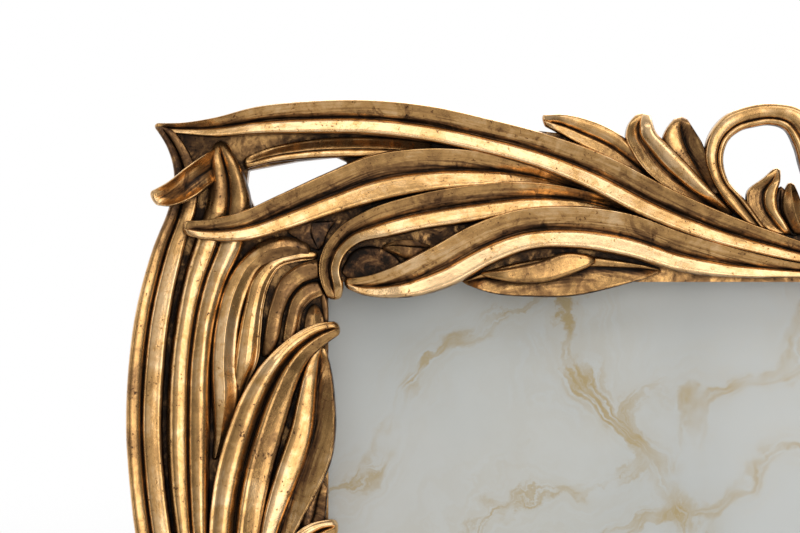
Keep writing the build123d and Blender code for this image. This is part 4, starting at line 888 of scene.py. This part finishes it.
def plain(name, low, high, scale, roughness, metallic=0.0, bump=0.15):
    """A material whose colour and gloss vary softly between two shades."""
    material, tree, shader = new_material(name)
    place = add(tree, "ShaderNodeTexCoord").outputs["Object"]
    cloud = noise(tree, place, scale, *PLAIN_NOISE)
    tree.links.new(mixed(tree, ramp(tree, cloud, *PLAIN_SPAN), low, high), shader.inputs["Base Color"])
    rough = plus(tree, roughness - ROUGH_SPREAD / 2, cloud, ROUGH_SPREAD)
    tree.links.new(rough, shader.inputs["Roughness"])
    tree.links.new(bumped(tree, cloud, bump, PLAIN_DEPTH), shader.inputs["Normal"])
    shader.inputs["Metallic"].default_value = metallic
    return material


gilded = leafed("gilt_carving", True, GROUND_CARVING)
materials = {
    "gilt_carving": gilded,
    "gilt_rail": leafed("gilt_rail", False, GROUND_RAIL),
    "paper": marbled_paper(),
    "glass": clear_glass(),
    "card": plain("card", (0.72, 0.70, 0.62), (0.80, 0.78, 0.71), 300.0, 0.8),
    "board": plain("board", (0.012, 0.011, 0.010), (0.022, 0.020, 0.018), 900.0, 0.85, 0.0, 0.5),
    "steel": plain("steel", (0.42, 0.42, 0.43), (0.60, 0.60, 0.60), 500.0, 0.35, 1.0),
    "brass": plain("brass", (0.55, 0.38, 0.15), (0.70, 0.51, 0.23), 400.0, 0.3, 1.0),
    "rubber": plain("rubber", (0.02, 0.02, 0.02), (0.035, 0.035, 0.035), 700.0, 0.7),
    "felt": plain("felt", (0.03, 0.022, 0.016), (0.06, 0.045, 0.035), 2500.0, 0.95, 0.0, 0.6),
}
for part in frame["record"]["subparts"]:
    mesh = nodes[part["node"]].data
    mesh.materials.clear()
    mesh.materials.append(materials[part["material_slot"]])

# Carved pieces
CORNERS = {"top_left": (False, False), "top_right": (True, False),
           "bottom_left": (False, True), "bottom_right": (True, True)}


def dress(node, specs, flips):
    """Carves the bands of a node and puts them in its place."""
    piece = carve(node + "_carved", specs, flips)
    piece.data.materials.append(gilded)
    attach(piece, "frame")
    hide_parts(node)


for corner, flip in CORNERS.items():
    for part_name, specs in BANDS.items():
        dress(f"{corner}_{part_name}", specs, [flip])
for part_name, specs in CREST.items():
    dress(part_name, specs, [(False, False), (True, False)])
dress("apron_leaves", CREST["crest_leaves"], [(False, True), (True, True)])
dress("centre_buds", BUD, [(False, False), (False, True)])
dress("side_clasps", CLASP, [(False, False), (True, False)])

# Camera, square on to the corner, as the photograph is
MM_PER_PIXEL = 0.2
IMAGE_WIDTH = 800
VIEW_MIDDLE = (14.4, 3.1)
CARVING_MIDDLE = 4.0
CAMERA_AWAY = 1100.0
CLIP_START = 0.01
SENSOR = 36.0
camera_data = bpy.data.cameras.new("camera")
camera_data.sensor_width = SENSOR
camera_data.lens = SENSOR * CAMERA_AWAY / (IMAGE_WIDTH * MM_PER_PIXEL)
camera_data.clip_start = CLIP_START
camera = bpy.data.objects.new("camera", camera_data)
camera.location = drawn(*VIEW_MIDDLE, RAIL_FRONT + CARVING_MIDDLE + CAMERA_AWAY)
camera.rotation_euler = (-normal).to_track_quat("-Z", "Y").to_euler()
scene.collection.objects.link(camera)
scene.camera = camera


# Light and floor
def softbox(name, target, away, size, power):
    """A soft lamp that points at target from away (out, up, right), in m, with its power in W."""
    out, up, right = away
    place = target + normal * out + upward * up + across_axis * right
    data = bpy.data.lights.new(name, "AREA")
    data.shape = "RECTANGLE"
    data.size, data.size_y = size
    data.energy = power
    lamp = bpy.data.objects.new(name, data)
    lamp.location = place
    lamp.rotation_euler = (target - place).to_track_quat("-Z", "Y").to_euler()
    scene.collection.objects.link(lamp)


middle = drawn(*VIEW_MIDDLE, RAIL_FRONT)
softbox("top", middle, (0.9, 1.0, 0.1), (1.6, 0.5), 4.5)
softbox("right", middle, (1.4, 0.05, 0.65), (1.1, 1.4), 8.0)
softbox("back", sight_centre, (-1.1, 0.9, 0.35), (1.2, 0.8), 8.0)
softbox("left", middle, (0.38, 0.1, -1.15), (0.4, 1.1), 1.6)

# The room is darker below, has a glow ahead of the frame, and is seen as white.
STUDIO_LOW = (0.06, 0.056, 0.053)
STUDIO_HIGH = (0.36, 0.36, 0.36)
FRONT_GLOW = (0.62, 0.62, 0.62)
LEVEL_SPAN, BEHIND_SPAN, GLOW_SPAN = (-0.6, 0.9), (0.0, 0.4), (0.7, 0.97)
world = bpy.data.worlds.new("studio")
scene.world = world
world.use_nodes = True
tree = world.node_tree
background = tree.nodes["Background"]
path = add(tree, "ShaderNodeLightPath")
direction = add(tree, "ShaderNodeSeparateXYZ")
tree.links.new(add(tree, "ShaderNodeTexCoord").outputs["Generated"], direction.inputs[0])
behind = ramp(tree, direction.outputs["Y"], *BEHIND_SPAN)
level = ramp(tree, direction.outputs["Z"], *LEVEL_SPAN)
ahead = add(tree, "ShaderNodeVectorMath", operation="DOT_PRODUCT", in_1=normal)
tree.links.new(direction.inputs[0].links[0].from_socket, ahead.inputs[0])
studio = mixed(tree, level, STUDIO_LOW, STUDIO_HIGH)
studio = mixed(tree, ramp(tree, ahead.outputs["Value"], *GLOW_SPAN), studio, FRONT_GLOW)
seen = maths(tree, "MAXIMUM", path.outputs["Is Camera Ray"], path.outputs["Is Transmission Ray"])
seen = maths(tree, "MAXIMUM", seen, maths(tree, "MULTIPLY", path.outputs["Is Glossy Ray"], behind))
tree.links.new(mixed(tree, seen, studio, WHITE), background.inputs["Color"])
background.inputs["Strength"].default_value = 1.0

# A pale floor just under the part, faded out toward its rim
FLOOR_RADIUS = 1.2
FLOOR_SIDES = 96
FLOOR_DROP = 0.0002
FLOOR_FADE = (0.35 * FLOOR_RADIUS, 0.95 * FLOOR_RADIUS)
FLOOR_GREY = (0.88, 0.88, 0.88, 1.0)
FLOOR_ROUGH = 0.7
bpy.ops.mesh.primitive_circle_add(vertices=FLOOR_SIDES, radius=FLOOR_RADIUS, fill_type="NGON",
                                  location=(0, 0, -FLOOR_DROP))
floor = bpy.context.object
floor.name = "floor"
floor_material, tree, shader = new_material("floor")
place = add(tree, "ShaderNodeTexCoord").outputs["Object"]
distance = add(tree, "ShaderNodeVectorMath", operation="LENGTH")
tree.links.new(place, distance.inputs[0])
fade = maths(tree, "SUBTRACT", 1.0, ramp(tree, distance.outputs["Value"], *FLOOR_FADE))
tree.links.new(fade, shader.inputs["Alpha"])
shader.inputs["Base Color"].default_value = FLOOR_GREY
shader.inputs["Roughness"].default_value = FLOOR_ROUGH
floor.data.materials.append(floor_material)
